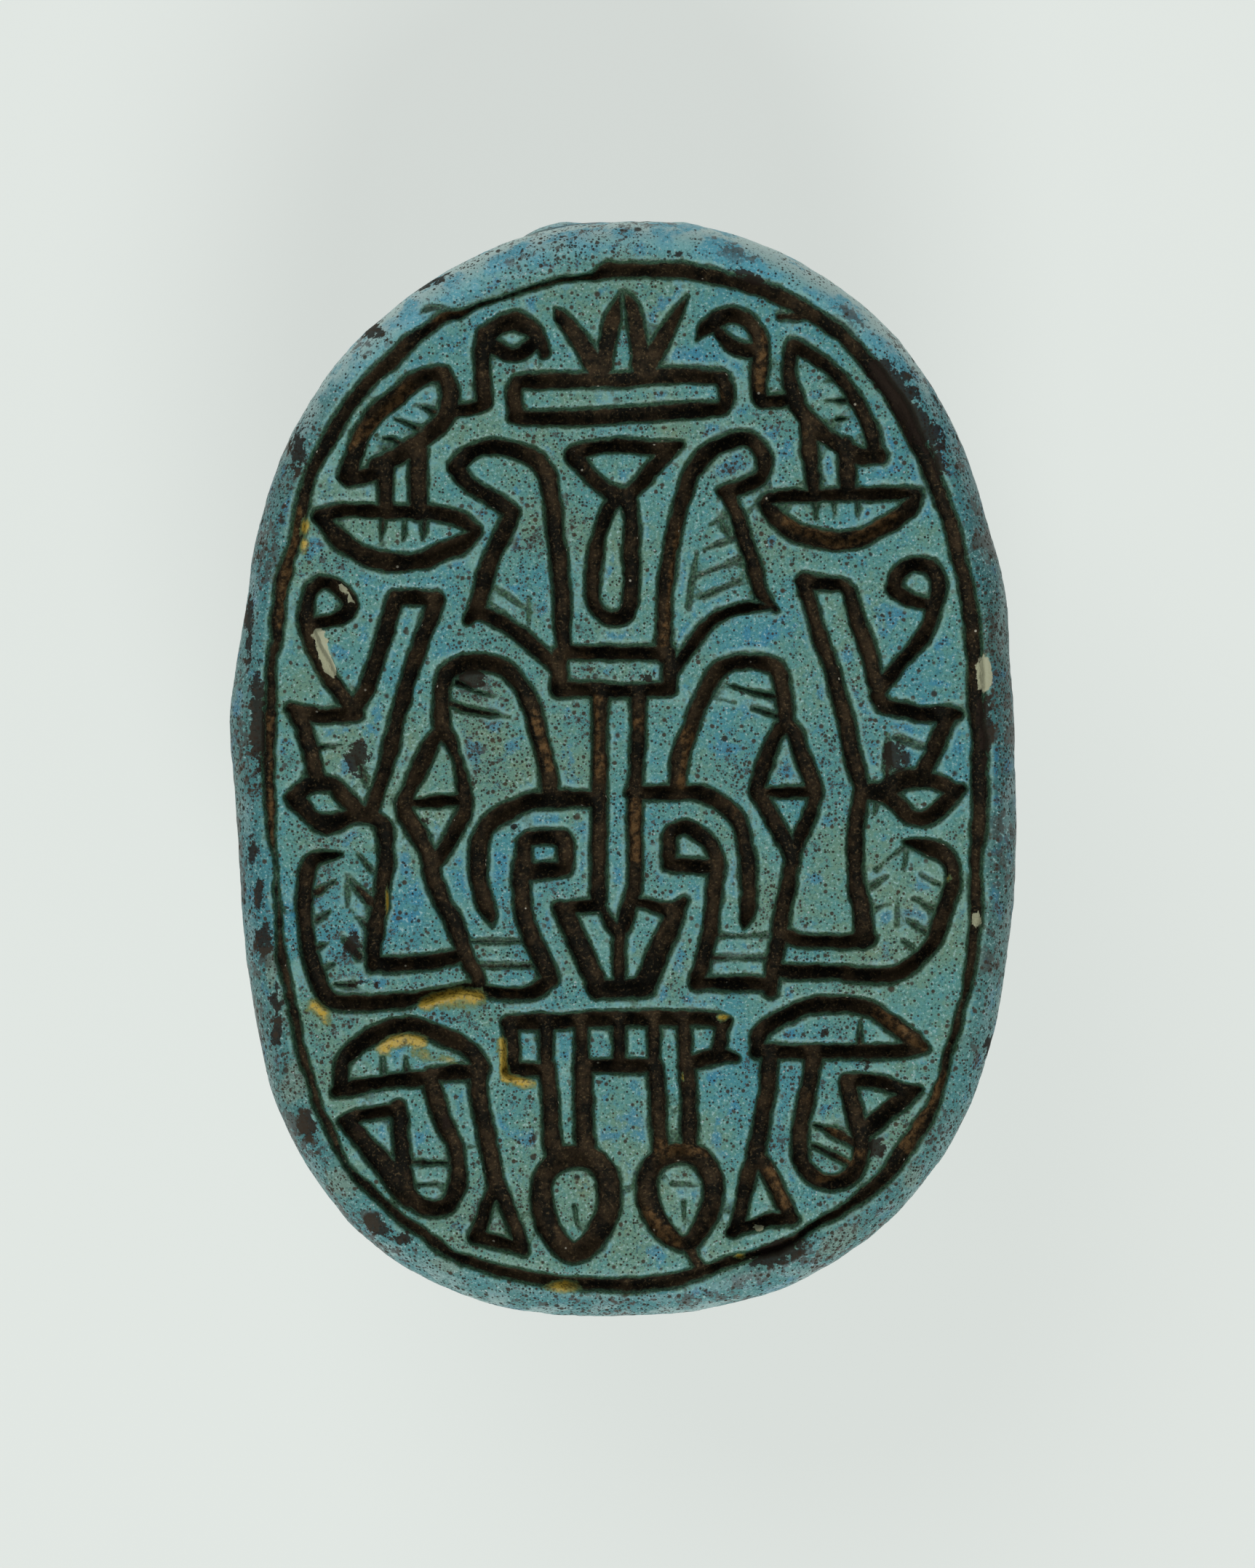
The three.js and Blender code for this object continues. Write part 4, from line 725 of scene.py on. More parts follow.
def net(v, ax, ay, ad):
    """One closed skin of four-sided faces round the cells where the field changes sign."""
    low = v < 0
    n = np.zeros(tuple(s - 1 for s in v.shape), np.uint8)
    for dx in (0, 1):
        for dy in (0, 1):
            for dz in (0, 1):
                n += low[dx:v.shape[0] - 1 + dx, dy:v.shape[1] - 1 + dy, dz:v.shape[2] - 1 + dz]
    live = (n > 0) & (n < 8)
    ids = np.full(live.shape, -1, np.int32)
    cell = np.argwhere(live)
    ids[live] = np.arange(len(cell))
    i, j, k = cell.T
    total = np.zeros((len(cell), 3), np.float64)
    count = np.zeros(len(cell))
    axes = (ax, ay, ad)
    for axis in range(3):
        others = [o for o in range(3) if o != axis]
        for p in (0, 1):
            for q in (0, 1):
                o0 = [0, 0, 0]
                o0[others[0]], o0[others[1]] = p, q
                o1 = list(o0)
                o1[axis] = 1
                f0 = v[i + o0[0], j + o0[1], k + o0[2]].astype(np.float64)
                f1 = v[i + o1[0], j + o1[1], k + o1[2]].astype(np.float64)
                hit = (f0 < 0) != (f1 < 0)
                t = np.where(hit, f0 / np.where(hit, f0 - f1, 1), 0)
                c = [i + o0[0], j + o0[1], k + o0[2]]
                for m in range(3):
                    w = axes[m][c[m]]
                    if m == axis:
                        w = w + t * (axes[m][c[m] + 1] - axes[m][c[m]])
                    total[:, m] += np.where(hit, w, 0)
                count += hit
    places = total / count[:, None]
    faces = []
    for axis in range(3):
        sl0 = [slice(None)] * 3
        sl1 = [slice(None)] * 3
        sl0[axis], sl1[axis] = slice(0, -1), slice(1, None)
        a, b = low[tuple(sl0)], low[tuple(sl1)]
        e = np.argwhere(a != b)
        o = [m for m in range(3) if m != axis]
        keep = (e[:, o[0]] > 0) & (e[:, o[1]] > 0) & (e[:, o[0]] < ids.shape[o[0]]) & (e[:, o[1]] < ids.shape[o[1]])
        e = e[keep]
        inside_first = a[tuple(e.T)]
        def cell_at(p, q):
            c = e.copy()
            c[:, o[0]] -= p
            c[:, o[1]] -= q
            return ids[tuple(c.T)]
        quad = np.stack([cell_at(0, 0), cell_at(1, 0), cell_at(1, 1), cell_at(0, 1)], 1)
        turn = inside_first if axis != 1 else ~inside_first
        quad[~turn] = quad[~turn][:, ::-1]
        faces.append(quad)
    return places, np.vstack(faces)


points, quads = net(volume, vx, vy, vd)
del volume


def slope(p, e=.012):
    """The field and which way it rises, at rows of places."""
    x, y, d = p.T
    f = field(x, y, d)
    g = np.stack([(field(x + e, y, d) - field(x - e, y, d)), (field(x, y + e, d) - field(x, y - e, d)),
                  (field(x, y, d + e) - field(x, y, d - e))], 1) / (2 * e)
    return f, g


for _ in range(2):
    f, g = slope(points)
    move = -f[:, None] * g / np.maximum((g * g).sum(1), .04)[:, None]
    length = np.linalg.norm(move, axis=1)
    move *= np.minimum(1, .03 / np.maximum(length, 1e-9))[:, None]
    points = points + move

# worn, hand-cut unevenness on the sides and back
f, g = slope(points)
out_way = g / np.maximum(np.linalg.norm(g, axis=1), 1e-6)[:, None]
away = smooth((points[:, 2] - .5) / .8)
bumps = (.035 * lattice_noise(points, 1.3, 41) + .02 * lattice_noise(points, .5, 42) + .009 * lattice_noise(points, .2, 43))
points = points + out_way * (bumps * away)[:, None]

# a shallow scar and small chips on the back and sides
for cx, cy, cd, r, depth in ((3.1, -4.6, 6.0, .7, .16), (-4.9, .6, 4.9, .5, .12), (1.2, 7.9, 4.7, .4, .12), (-2.2, -7.9, 3.4, .45, .1),
                             (5.9, 3.0, 1.3, .35, .08), (-6.1, -1.6, 1.2, .45, .08), (-3.0, 8.1, 1.3, .35, .07)):
    q = np.linalg.norm(points - (cx, cy, cd), axis=1) / r
    points = points - out_way * (depth * np.clip(1 - q ** 2, 0, 1))[:, None]
points[:, 2] = np.clip(points[:, 2], 0, HEIGHT)


def to_metres(p):
    return np.stack([p[:, 0], p[:, 1] + Y_SHIFT, HEIGHT - p[:, 2]], 1) * MM


def new_mesh(name, verts, faces):
    mesh = bpy.data.meshes.new(name)
    n = faces.shape[1]
    mesh.vertices.add(len(verts))
    mesh.vertices.foreach_set("co", np.ascontiguousarray(verts, np.float32).ravel())
    mesh.loops.add(faces.size)
    mesh.loops.foreach_set("vertex_index", np.ascontiguousarray(faces, np.int32).ravel())
    mesh.polygons.add(len(faces))
    mesh.polygons.foreach_set("loop_start", np.arange(0, faces.size, n, dtype=np.int32))
    mesh.update(calc_edges=True)
    mesh.validate()
    return mesh


def read_places(mesh):
    co = np.empty(len(mesh.vertices) * 3, np.float32)
    mesh.vertices.foreach_get("co", co)
    return co.reshape(-1, 3).astype(np.float64)


tri_target = 150000
raw = new_mesh("scarab_raw", to_metres(points) * 1000, quads)     # in metres x 1000 so that the thinning works at a healthy size
holder = bpy.data.objects.new("scarab_raw", raw)
bpy.context.scene.collection.objects.link(holder)
thin = holder.modifiers.new("thin", "DECIMATE")
thin.ratio = min(1.0, tri_target / (2 * len(quads)))
thin.use_collapse_triangulate = True
bpy.context.view_layer.update()
mesh = bpy.data.meshes.new_from_object(holder.evaluated_get(bpy.context.evaluated_depsgraph_get()))
bpy.data.objects.remove(holder)
bpy.data.meshes.remove(raw)
mesh.name = "scarab_amulet"

# the thinning leaves the flat ground between the strokes in long triangles: those are split again, so that
# what each point knows about its nearest stroke stays true between the points
bm = bmesh.new()
bm.from_mesh(mesh)
for reach in ((1.2, .6, .3, .2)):
    kept_whole = {e for e in bm.edges if len(e.link_faces) != 2}
    to_split = {e for e in bm.edges if e not in kept_whole and min(e.verts[0].co.z, e.verts[1].co.z) > HEIGHT - .7
             and e.calc_length() > reach}
    # a face is split along one side or along all three: along two it would leave slivers of no area
    to_check = {f for e in to_split for f in e.link_faces}
    while to_check:
        next_check = set()
        for f in to_check:
            sides = [e for e in f.edges if e in to_split]
            if len(sides) == 2:
                last_side = next(e for e in f.edges if e not in to_split)
                if last_side in kept_whole:
                    kept_whole.update(sides)
                    to_split.difference_update(sides)
                    next_check.update(g for e in sides for g in e.link_faces)
                else:
                    to_split.add(last_side)
                    next_check.update(last_side.link_faces)
        to_check = next_check
    bmesh.ops.subdivide_edges(bm, edges=list(to_split), cuts=1)
    bmesh.ops.triangulate(bm, faces=[f for f in bm.faces if len(f.verts) > 3])
bmesh.ops.dissolve_degenerate(bm, dist=1e-5, edges=bm.edges[:])
bm.to_mesh(mesh)
bm.free()
mesh.validate()
mesh.flip_normals()                # the net winds its faces inward
mesh.transform(Matrix.Scale(.001, 4))
print("skin", len(quads) * 2, "->", len(mesh.polygons), "triangles")
scarab = bpy.data.objects.new("scarab_amulet", mesh)
bpy.context.scene.collection.objects.link(scarab)
mesh.polygons.foreach_set("use_smooth", np.ones(len(mesh.polygons), bool))
co = read_places(mesh) * 1000
at = np.stack([co[:, 0], co[:, 1] - Y_SHIFT, HEIGHT - co[:, 2]], 1)

# ------------------------------------------------------------------ what the finish needs to know, point by point
def put(name, values):
    mesh.attributes.new(name, "FLOAT", "POINT").data.foreach_set("value", np.ascontiguousarray(values, np.float32))


f, g = slope(at, .02)
g_out = g / np.maximum(np.linalg.norm(g, axis=1), 1e-6)[:, None]
on_base = smooth((.75 - at[:, 2]) / .12)
put("stroke_edge", np.where(on_base > .02, np.clip(sample(edge, at[:, 0], at[:, 1]), -.3, 1.5), 1.5))
put("stroke_cut", sample(cut, at[:, 0], at[:, 1]) * on_base)
put("inset", np.clip(sample(inset, at[:, 0], at[:, 1]), -.2, 3))
put("depth", at[:, 2])
put("back_cut", sample(back_cut, at[:, 0], at[:, 1]) * smooth((at[:, 2] - 2.2) / .4))
put("bore", np.hypot(at[:, 0], at[:, 2] - 2.95))
put("on_base", on_base)


def spot(x, y, rx, ry, turn=0.0):
    """A soft-edged patch on the base, 1 in its middle."""
    x, y = flat(x, y)
    c, s = math.cos(turn), math.sin(turn)
    u, v = (at[:, 0] - x) * c + (at[:, 1] - y) * s, -(at[:, 0] - x) * s + (at[:, 1] - y) * c
    return np.clip(1 - np.hypot(u / rx, v / ry), 0, 1) * on_base


def band(points, r):
    """A soft-edged line of grime or residue along some places."""
    out = np.zeros(len(at))
    p = np.array([flat(*q) for q in points])
    for a, b in zip(p, p[1:]):
        d = b - a
        t = np.clip(((at[:, 0] - a[0]) * d[0] + (at[:, 1] - a[1]) * d[1]) / max(d @ d, 1e-9), 0, 1)
        out = np.maximum(out, 1 - np.hypot(at[:, 0] - a[0] - t * d[0], at[:, 1] - a[1] - t * d[1]) / r)
    return np.clip(out, 0, 1) * on_base


stain = np.zeros(len(at))
for s in (band([(4.2, 6.45), (4.6, 5.95), (5.0, 5.35)], .42), spot(4.9, 5.55, .34, .5, .45), spot(5.15, 4.9, .14, .4, .2),
          spot(-6.05, -1.4, .14, .4), spot(-5.93, -2.1, .13, .45), spot(-5.87, -2.78, .22, .38), spot(-5.66, -3.78, .16, .46),
          spot(-5.65, -4.4, .17, .34), spot(-5.15, -5.85, .22, .3), spot(-4.0, -7.5, .3, .18, -.8), spot(-3.6, -7.7, .26, .16),
          spot(.4, 1.45, .16, .14), spot(-1.78, -1.0, .13, .13), spot(2.5, -7.93, .6, .24, .3), spot(-2.45, 1.45, .28, .2),
          spot(3.28, -4.33, .14, .12), spot(-3.22, -.87, .1, .1), spot(1.92, 1.17, .12, .08), spot(-4.35, .2, .3, .5),
          spot(4.35, .2, .35, .4), spot(-5.97, .8, .16, 1.5), spot(-6.1, 2.2, .14, .9), spot(5.95, -4.6, .14, .6),
          spot(-5.3, 5.2, .2, .6), spot(-4.1, 7.1, .34, .18, -.7), spot(5.9, .6, .16, .9), spot(-3.2, 7.9, .6, .14, .4),
          spot(-4.45, -2.9, .24, .27), spot(-4.3, -3.55, .38, .16), spot(-4.3, -5.9, .2, .14), spot(-2.9, -5.85, .1, .14),
          spot(3.95, -4.85, .14, .14), spot(4.1, -6.2, .24, .16), spot(2.1, 7.95, .5, .12, -.35), spot(.8, 8.35, .4, .12)):
    stain = np.maximum(stain, s)
put("stain", stain)
ochre = np.zeros(len(at))
for s in (band([(-3.25, -3.88), (-3.0, -3.77), (-2.65, -3.71), (-2.35, -3.76)], .16), band([(-3.0, -3.92), (-2.4, -3.9)], .1) * .5,
          band([(-3.92, -4.6), (-3.75, -4.48), (-3.5, -4.45), (-3.3, -4.5)], .16), band([(-3.4, -4.72), (-3.0, -4.74), (-2.75, -4.8)], .12) * .5,
          band([(-5.06, -3.88), (-4.94, -3.98), (-4.82, -4.12)], .16) * .8, spot(-5.2, 3.9, .14, .2), spot(-5.2, 3.6, .12, .18),
          band([(-1.98, -4.5), (-1.95, -5.08), (-1.5, -5.17)], .1), spot(-1.0, -8.48, .42, .14), spot(-3.86, -2.2, .05, .4),
          spot(1.9, -8.0, .12, .08), spot(5.3, -1.84, .06, .06), spot(1.62, -4.1, .16, .08), spot(.98, -5.08, .07, .08)):
    ochre = np.maximum(ochre, s)
put("ochre", ochre)
dust = np.zeros(len(at))
for s in (band([(.2, -1.5), (.2, -.6)], .15), spot(.2, .7, .15, .2), band([(.95, -.3), (1.05, .5)], .16), band([(4.1, -4.0), (4.9, -4.6)], .16),
          band([(5.2, -5.1), (4.6, -6.2)], .18), band([(-.45, 1.1), (-.4, -.2)], .14), band([(3.2, -6.7), (3.8, -6.3)], .2), band([(3.3, -5.9), (3.7, -6.1)], .14),
          band([(2.4, -6.6), (2.65, -7.1)], .2), band([(.4, -7.3), (.8, -7.8)], .22), band([(2.7, 4.0), (3.6, 3.6), (4.4, 4.1)], .2), band([(-3.5, 6.2), (-4.5, 5.2)], .16),
          band([(-5.786, .8), (-5.75, -1.4)], .12), band([(-5.3, 4.2), (-5.65, 2.3)], .14), band([(-3.1, 7.3), (-.6, 8.0)], .12), band([(.9, 3.9), (.65, 2.0)], .12),
          band([(2.3, 7.1), (2.2, 6.2)], .14), band([(1.4, 6.2), (1.7, 6.0)], .12), band([(-1.2, .0), (-1.5, .9)], .1), band([(.6, -6.2), (1.3, -6.3)], .16)):
    dust = np.maximum(dust, s)
put("dust", dust)
pale = np.zeros(len(at))
for s in (band([(-4.97, 2.15), (-4.9, 1.85), (-4.78, 1.55)], .13), band([(-4.6, 2.95), (-4.4, 2.6)], .05), spot(2.2, -7.53, .1, .07), spot(5.88, 1.5, .16, .4),
          spot(5.75, -2.5, .1, .16)):
    pale = np.maximum(pale, s)
put("pale", pale)

bare = np.zeros(len(at))
for s in (spot(-5.35, -5.15, .34, .55, -.3), spot(-4.62, -6.8, .4, .3, -.8), spot(3.5, -7.75, .6, .26, .6), spot(-2.9, -8.15, .4, .14, -.35),
          spot(-5.75, -3.3, .12, .5), spot(4.7, -6.7, .3, .2, .8)):
    bare = np.maximum(bare, s)
put("bare", bare)

# slow changes over the whole surface
put("tone", .62 * layered(at, 2.3, 51, 4, .55) + .38 * layered(at, .75, 52, 3, .55))
put("crowd", layered(at, 1.2, 53, 3, .6))
put("streak", layered(at * (1, 1, 1.6), .34, 54, 2, .6))
put("patchy", layered(at, .3, 55, 2, .6))
put("scuff", layered(at, .52, 56, 3, .6))
put("warmth", layered(at, .6, 57, 2, .6))
# painted light share over the rim: high at the head end, a little at the tail; it places the painted highlight and the
# painted reflection on the rim
put("painted_rim_light", .3 + .7 * smooth((at[:, 1] - 4.2) / 3.2) + .25 * smooth((-at[:, 1] - 6.2) / 2))
# painted shade and soil share: high along the right rim, lower on the left; it darkens the rim there as painted shade
# and also spreads the brown rim wear
put("rim_shade_and_soil", smooth((at[:, 0] - 4.9) / .9) * smooth((5.5 - np.abs(at[:, 1] - 1)) / 3) + .45 * smooth((-at[:, 0] - 4.2) / 1.4))

# ------------------------------------------------------------------ glaze
def lin(r, g, b):
    return tuple((c / 255 / 12.92 if c / 255 <= .04045 else ((c / 255 + .055) / 1.055) ** 2.4) for c in (r, g, b)) + (1.0,)


class Nodes:
    """Short ways to write a shader."""

    def __init__(self, name):
        self.mat = bpy.data.materials.new(name)
        self.mat.use_nodes = True
        self.tree = self.mat.node_tree
        self.tree.nodes.clear()
        self.mm = self.node("ShaderNodeVectorMath", operation="SCALE")
        self.tree.links.new(self.node("ShaderNodeTexCoord").outputs["Object"], self.mm.inputs[0])
        self.mm.inputs["Scale"].default_value = 1000
        self.place = self.mm.outputs[0]

    def node(self, kind, **props):
        n = self.tree.nodes.new(kind)
        for k, v in props.items():
            setattr(n, k, v)
        return n

    def feed(self, socket, value):
        if isinstance(value, bpy.types.NodeSocket):
            self.tree.links.new(value, socket)
        else:
            socket.default_value = value

    def math(self, op, a, b=0.0, c=0.0, clamp=False):
        n = self.node("ShaderNodeMath", operation=op, use_clamp=clamp)
        for s, v in zip(n.inputs, (a, b, c)):
            self.feed(s, v)
        return n.outputs[0]

    def between(self, v, a, b, lo=0.0, hi=1.0):
        """Smooth change from lo to hi as v goes from a to b."""
        n = self.node("ShaderNodeMapRange", interpolation_type="SMOOTHSTEP")
        for s, x in zip(("Value", "From Min", "From Max", "To Min", "To Max"), (v, a, b, lo, hi)):
            self.feed(n.inputs[s], x)
        return n.outputs[0]

    def mix(self, share, a, b, mode="MIX"):
        n = self.node("ShaderNodeMix", data_type="RGBA", blend_type=mode, clamp_factor=True)
        self.feed(n.inputs[0], share)
        self.feed(n.inputs[6], a)
        self.feed(n.inputs[7], b)
        return n.outputs[2]

    def noise(self, size, detail=2.0, rough=.5, seed=0.0, warp=0.0, place=None):
        n = self.node("ShaderNodeTexNoise", noise_dimensions="3D")
        p = self.node("ShaderNodeVectorMath", operation="ADD")
        self.feed(p.inputs[0], place or self.place)
        p.inputs[1].default_value = (seed * 7.3, seed * 3.1 + 11, seed * 5.7)
        self.feed(n.inputs["Vector"], p.outputs[0])
        n.inputs["Scale"].default_value = 1 / size
        n.inputs["Detail"].default_value = detail
        n.inputs["Roughness"].default_value = rough
        n.inputs["Distortion"].default_value = warp
        return n.outputs["Fac"]

    def cells(self, size, seed=0.0, place=None):
        """Distance to the nearest of scattered points, in cell sizes, and each cell's own number."""
        n = self.node("ShaderNodeTexVoronoi", feature="F1")
        p = self.node("ShaderNodeVectorMath", operation="ADD")
        self.feed(p.inputs[0], place or self.place)
        p.inputs[1].default_value = (seed * 3.7 + 5, seed * 9.1, seed * 2.3)
        self.feed(n.inputs["Vector"], p.outputs[0])
        n.inputs["Scale"].default_value = 1 / size
        own = self.node("ShaderNodeSeparateColor")
        self.feed(own.inputs[0], n.outputs["Color"])
        return n.outputs["Distance"], own.outputs[0], own.outputs[1]

    def read(self, name):
        return self.node("ShaderNodeAttribute", attribute_name=name).outputs["Fac"]


m = Nodes("glazed_steatite")
edge_v, cut_v, inset_v, depth_v = m.read("stroke_edge"), m.read("stroke_cut"), m.read("inset"), m.read("depth")
back_v, base_v = m.read("back_cut"), m.read("on_base")
stain_v, ochre_v, dust_v, pale_v = m.read("stain"), m.read("ochre"), m.read("dust"), m.read("pale")
tone_v, crowd_v, streak_v, patchy_v = m.read("tone"), m.read("crowd"), m.read("streak"), m.read("patchy")
scuff_v, warmth_v = m.read("scuff"), m.read("warmth")
painted_rim_light_v, rim_shade_and_soil_v, bare_v = m.read("painted_rim_light"), m.read("rim_shade_and_soil"), m.read("bare")
# two noises serve everything fine: one as wide as a groove's lip, one like sand; both swing about nought
lump = m.math("SUBTRACT", m.noise(.13, 3, .65, 10), .5)
sand = m.math("SUBTRACT", m.noise(.045, 1, .6, 3), .5)

# broad tones: grey green, teal, clear blue
ramp = m.node("ShaderNodeValToRGB")
m.feed(ramp.inputs[0], m.math("ADD", m.math("MULTIPLY_ADD", tone_v, .42, .5), m.math("MULTIPLY", lump, .5)))
cr = ramp.color_ramp
cr.interpolation = "EASE"
stops = [(.24, lin(112, 138, 112)), (.39, lin(100, 142, 124)), (.52, lin(86, 144, 138)), (.64, lin(70, 140, 148)), (.8, lin(46, 124, 148))]
cr.elements[0].position, cr.elements[0].color = stops[0]
cr.elements[1].position, cr.elements[1].color = stops[-1]
for pos, col in stops[1:-1]:
    cr.elements.new(pos).color = col
glaze = ramp.outputs[0]

# rim and sides are clearer blue, with a whitish painted reflection of the pale surround over the edge of the rim
rim = m.between(inset_v, .8, .3)
glaze = m.mix(m.math("MULTIPLY", rim, .5), glaze, lin(50, 124, 138))
# painted shade: the rim turns a deep dull teal, mostly on the right side
glaze = m.mix(m.math("MULTIPLY", rim, m.math("MULTIPLY", rim_shade_and_soil_v, .45)), glaze, lin(44, 76, 72))
# painted highlight: bright, smooth, clear blue over the rim at the head end, where light falls from above
face_swell_and_rim_highlight = m.math("MULTIPLY", rim, m.between(painted_rim_light_v, .6, 1.0))
glaze = m.mix(m.math("MULTIPLY", face_swell_and_rim_highlight, .72), glaze, m.mix(m.between(streak_v, -.25, .3), lin(92, 172, 196), lin(134, 190, 192)))
# small flecks of purer blue
fleck = m.between(m.math("MULTIPLY_ADD", patchy_v, .7, lump), .12, .42, 0, .55)
glaze = m.mix(fleck, glaze, lin(38, 124, 164))
side = m.math("MULTIPLY", m.math("MAXIMUM", m.between(depth_v, .22, .62), m.between(inset_v, .42, .08)), m.between(depth_v, 1.7, .95, .3, 1))
# painted reflection: whitish over the rolled sides of the rim, strongest towards the head end
painted_rim_reflection = m.between(m.math("ADD", streak_v, m.math("MULTIPLY_ADD", lump, 1.3, m.math("MULTIPLY_ADD", painted_rim_light_v, .55, -.2))), -.1, .4)
painted_rim_reflection = m.math("MULTIPLY", m.math("MULTIPLY", side, painted_rim_reflection), m.math("MULTIPLY", painted_rim_light_v, .85))
glaze = m.mix(painted_rim_reflection, glaze, lin(184, 206, 202))
glaze = m.mix(m.between(m.math("MULTIPLY_ADD", lump, 1.2, m.math("MULTIPLY_ADD", bare_v, 1.1, -.15)), .05, .35, 0, .75), glaze, lin(116, 142, 128))

# salt-and-pepper grain of the glaze
glaze = m.mix(m.between(sand, .05, .26, 0, .75), glaze, lin(164, 200, 198))
glaze = m.mix(m.between(sand, -.06, -.24, 0, .8), glaze, lin(44, 84, 84))

# pits: three sizes, thick in some places and thin in others
thick = m.math("ADD", m.between(crowd_v, -.45, .45, .5, 1.45), m.math("MULTIPLY_ADD", rim, .35, m.math("MULTIPLY", face_swell_and_rim_highlight, -.85)))


def pits(size, radius, share, seed):
    far, own, other = m.cells(size, seed)
    open_ = m.math("LESS_THAN", own, m.math("MULTIPLY", thick, share))
    r = m.math("MULTIPLY_ADD", other, radius * .8 / size, radius * .5 / size)
    return m.math("MULTIPLY", m.between(m.math("DIVIDE", far, r), 1.2, .65), open_), other


small, tint1 = pits(.056, .0195, .66, 1)
middle, tint2 = pits(.115, .034, .6, 2)
large, tint3 = pits(.34, .056, .2, 3)
pit = m.math("MAXIMUM", m.math("MAXIMUM", small, middle), large)
pit_tint = m.mix(tint2, lin(28, 20, 15), lin(66, 52, 40))
glaze = m.mix(m.math("MULTIPLY", pit, .9), glaze, pit_tint)
# ragged brown patches where pits have run together
ragged = m.math("ADD", m.math("MULTIPLY_ADD", lump, 1.5, m.math("MULTIPLY", sand, .9)), m.math("MULTIPLY", crowd_v, .42))
glaze = m.mix(m.between(m.math("MULTIPLY_ADD", rim, .06, m.math("MULTIPLY_ADD", face_swell_and_rim_highlight, -.16, ragged)), .24, .37, 0, .8), glaze, lin(54, 45, 35))
# tiny pale grains, on the face and lying in the strokes
far, own, other = m.cells(.13, 6)
grit = m.math("MULTIPLY", m.between(far, .15, .08), m.math("LESS_THAN", own, .2))
glaze = m.mix(m.math("MULTIPLY", grit, .7), glaze, lin(190, 200, 202))

# worn, thinner glaze at the lip of each stroke, dark green just over it, dirt below
lip_line = m.math("MULTIPLY", m.between(edge_v, .01, .03), m.between(edge_v, .11, .045))
glaze = m.mix(m.math("MULTIPLY", m.math("MULTIPLY", lip_line, m.between(patchy_v, -.15, .3)), .5), glaze, lin(138, 184, 172))
e2 = m.math("ADD", edge_v, m.math("MULTIPLY", lump, .07))
halo = m.math("ADD", e2, m.math("MULTIPLY", patchy_v, -.03))
green = m.mix(m.between(sand, -.15, .2), lin(34, 58, 42), lin(64, 100, 72))
glaze = m.mix(m.between(halo, .045, -.004, 0, .93), glaze, green)
fill = m.between(e2, -.018, -.064)
soot = m.mix(m.between(m.math("MULTIPLY_ADD", patchy_v, .35, lump), -.2, .26), lin(18, 14, 10), lin(62, 49, 34))
warm = m.mix(m.between(lump, -.14, .18), lin(40, 29, 18), lin(112, 84, 52))
soot = m.mix(m.between(m.math("ADD", m.math("MULTIPLY", warmth_v, .55), m.math("MULTIPLY_ADD", dust_v, 1.0, m.math("MULTIPLY", lump, .6))), .26, .7), soot, warm)
soot = m.mix(m.between(sand, .06, .24, 0, .38), soot, lin(124, 102, 72))
soot = m.mix(m.between(sand, -.08, -.22, 0, .4), soot, lin(16, 13, 11))
glaze = m.mix(m.math("MULTIPLY", fill, .97), glaze, soot)
speck = m.math("MULTIPLY", m.math("MULTIPLY", m.between(far, .2, .12), m.math("LESS_THAN", own, .035)), m.between(edge_v, .03, -.04))
glaze = m.mix(m.math("MULTIPLY", speck, .85), glaze, lin(196, 190, 172))

# darker brown in the lines of the back and in the crease under the rim
dark_lines_and_crease = m.between(m.math("ADD", m.math("MULTIPLY", back_v, 9), m.math("MULTIPLY_ADD", patchy_v, .5, m.math("MULTIPLY_ADD", lump, .8, -.3))), .0, .55)
tuck = m.math("MULTIPLY", m.between(depth_v, 1.45, 1.75), m.between(depth_v, 2.5, 2.0))
dark_lines_and_crease = m.math("MAXIMUM", dark_lines_and_crease, m.math("MULTIPLY", tuck, .8))
glaze = m.mix(m.math("MULTIPLY", dark_lines_and_crease, .88), glaze, lin(44, 33, 24))
# brown wear on the rim and stained patches, with ragged borders
wear = m.math("MULTIPLY_ADD", stain_v, .95, m.math("MULTIPLY_ADD", scuff_v, .6, m.math("MULTIPLY_ADD", lump, 1.9, -.3)))
wear = m.math("MULTIPLY", m.between(wear, .0, .2), m.between(stain_v, .0, .18))
glaze = m.mix(m.math("MULTIPLY", wear, .93), glaze, lin(40, 32, 26))
rub = m.math("MULTIPLY", m.between(m.math("ADD", m.math("MULTIPLY", rim_shade_and_soil_v, .16), m.math("MULTIPLY_ADD", lump, 2.0, scuff_v)), .27, .43), m.between(inset_v, .62, .3))
glaze = m.mix(m.math("MULTIPLY", rub, .72), glaze, lin(62, 54, 44))
# ochre crust with a green skirt, pale crust
crust_at = m.math("MULTIPLY_ADD", ochre_v, 1.25, m.math("MULTIPLY_ADD", lump, 1.0, -.2))
crust = m.between(crust_at, .0, .22)
crust_tint = m.mix(m.between(crust_at, .14, .75), lin(96, 122, 84), lin(196, 164, 62))
crust_tint = m.mix(m.between(m.math("ADD", lump, sand), .02, -.22, 0, .8), crust_tint, lin(92, 78, 30))
glaze = m.mix(m.math("MULTIPLY", crust, .88), glaze, crust_tint)
chalk = m.between(m.math("MULTIPLY_ADD", pale_v, 1.8, m.math("MULTIPLY_ADD", lump, 1.2, -.3)), .05, .25)
glaze = m.mix(m.math("MULTIPLY", chalk, .95), glaze, lin(178, 180, 150))

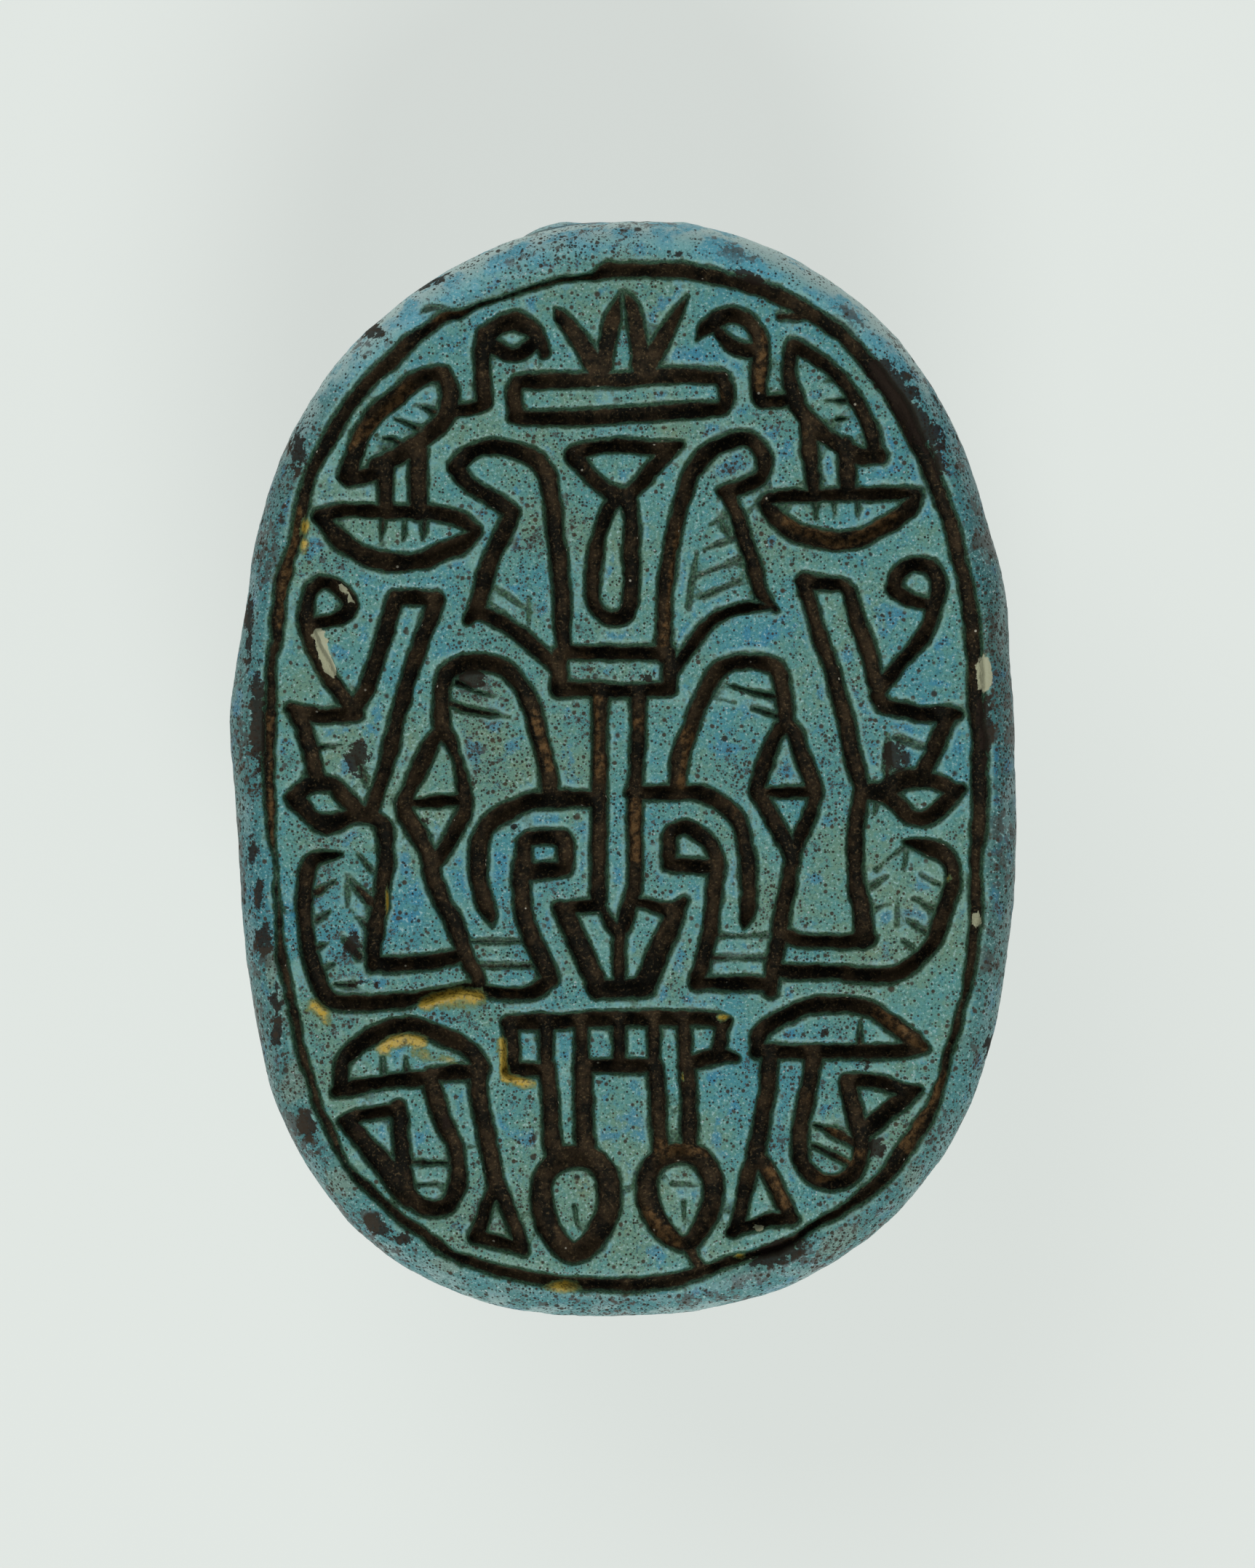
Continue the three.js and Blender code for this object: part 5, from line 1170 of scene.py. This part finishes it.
# surface: sandy grain as fine relief, stronger in the dirt of the strokes
height = m.math("MULTIPLY", sand, m.between(edge_v, .02, -.04, 1.1, 3.0))
bump = m.node("ShaderNodeBump")
bump.inputs["Strength"].default_value = .6
bump.inputs["Distance"].default_value = .000012
m.feed(bump.inputs["Height"], height)
shader = m.node("ShaderNodeBsdfPrincipled")
m.feed(shader.inputs["Base Color"], glaze)
dull = m.math("MAXIMUM", m.math("MAXIMUM", fill, pit), m.math("MAXIMUM", dark_lines_and_crease, wear))
m.feed(shader.inputs["Roughness"], m.math("MULTIPLY_ADD", dull, .4, m.math("MULTIPLY_ADD", patchy_v, .1, .47)))
m.feed(shader.inputs["Specular IOR Level"], m.math("MULTIPLY_ADD", dull, -.3, .42))
m.feed(shader.inputs["Normal"], bump.outputs[0])
out = m.node("ShaderNodeOutputMaterial")
m.tree.links.new(shader.outputs[0], out.inputs[0])
mesh.materials.clear()
mesh.materials.append(m.mat)
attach(scarab, "root")
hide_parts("scarab")

# ------------------------------------------------------------------ floor, light, camera
w = Nodes("pale_board")
board = w.mix(w.noise(900, 2, .5, 3), lin(140, 145, 142), lin(146, 150, 147))
face = w.node("ShaderNodeBsdfPrincipled")
w.feed(face.inputs["Base Color"], board)
face.inputs["Roughness"].default_value = .9
face.inputs["Specular IOR Level"].default_value = .1
face.inputs["Emission Color"].default_value = lin(240, 245, 241)
face.inputs["Emission Strength"].default_value = .62
end = w.node("ShaderNodeOutputMaterial")
w.tree.links.new(face.outputs[0], end.inputs[0])
bpy.ops.mesh.primitive_plane_add(size=2.4, location=(0, 0, -.00002))
floor = bpy.context.object
floor.name = "floor"
floor.data.materials.append(w.mat)


def lamp(name, place, size, power, tint=(1, 1, 1)):
    data = bpy.data.lights.new(name, "AREA")
    data.shape, data.size, data.energy, data.color = "DISK", size, power, tint
    o = bpy.data.objects.new(name, data)
    o.location = place
    o.rotation_euler = (Vector((0, 0, .004)) - Vector(place)).to_track_quat("-Z", "Y").to_euler()
    bpy.context.scene.collection.objects.link(o)
    return o


lamp("key", (.06, -.5, .5), .34, 2.75)
lamp("fill", (-.3, .5, .55), .6, 2.25)
world = bpy.data.worlds.new("studio")
bpy.context.scene.world = world
world.use_nodes = True
world.node_tree.nodes["Background"].inputs[0].default_value = (.93, .96, .95, 1)
world.node_tree.nodes["Background"].inputs[1].default_value = .215

cam = bpy.data.cameras.new("camera")
cam.sensor_fit = "VERTICAL"
cam.sensor_height = 36
cam.sensor_width = 36 * 1725 / 2156
cam.lens = 36 * (DISTANCE + RIM_DEPTH) / VIEW_HIGH
cam.clip_start = .005
cam.clip_end = 10
eye = bpy.data.objects.new("camera", cam)
eye.location = (CAM_X * MM, CAM_Y * MM, (HEIGHT + DISTANCE) * MM)
bpy.context.scene.collection.objects.link(eye)
bpy.context.scene.camera = eye
bpy.context.scene.view_settings.view_transform = "Standard"
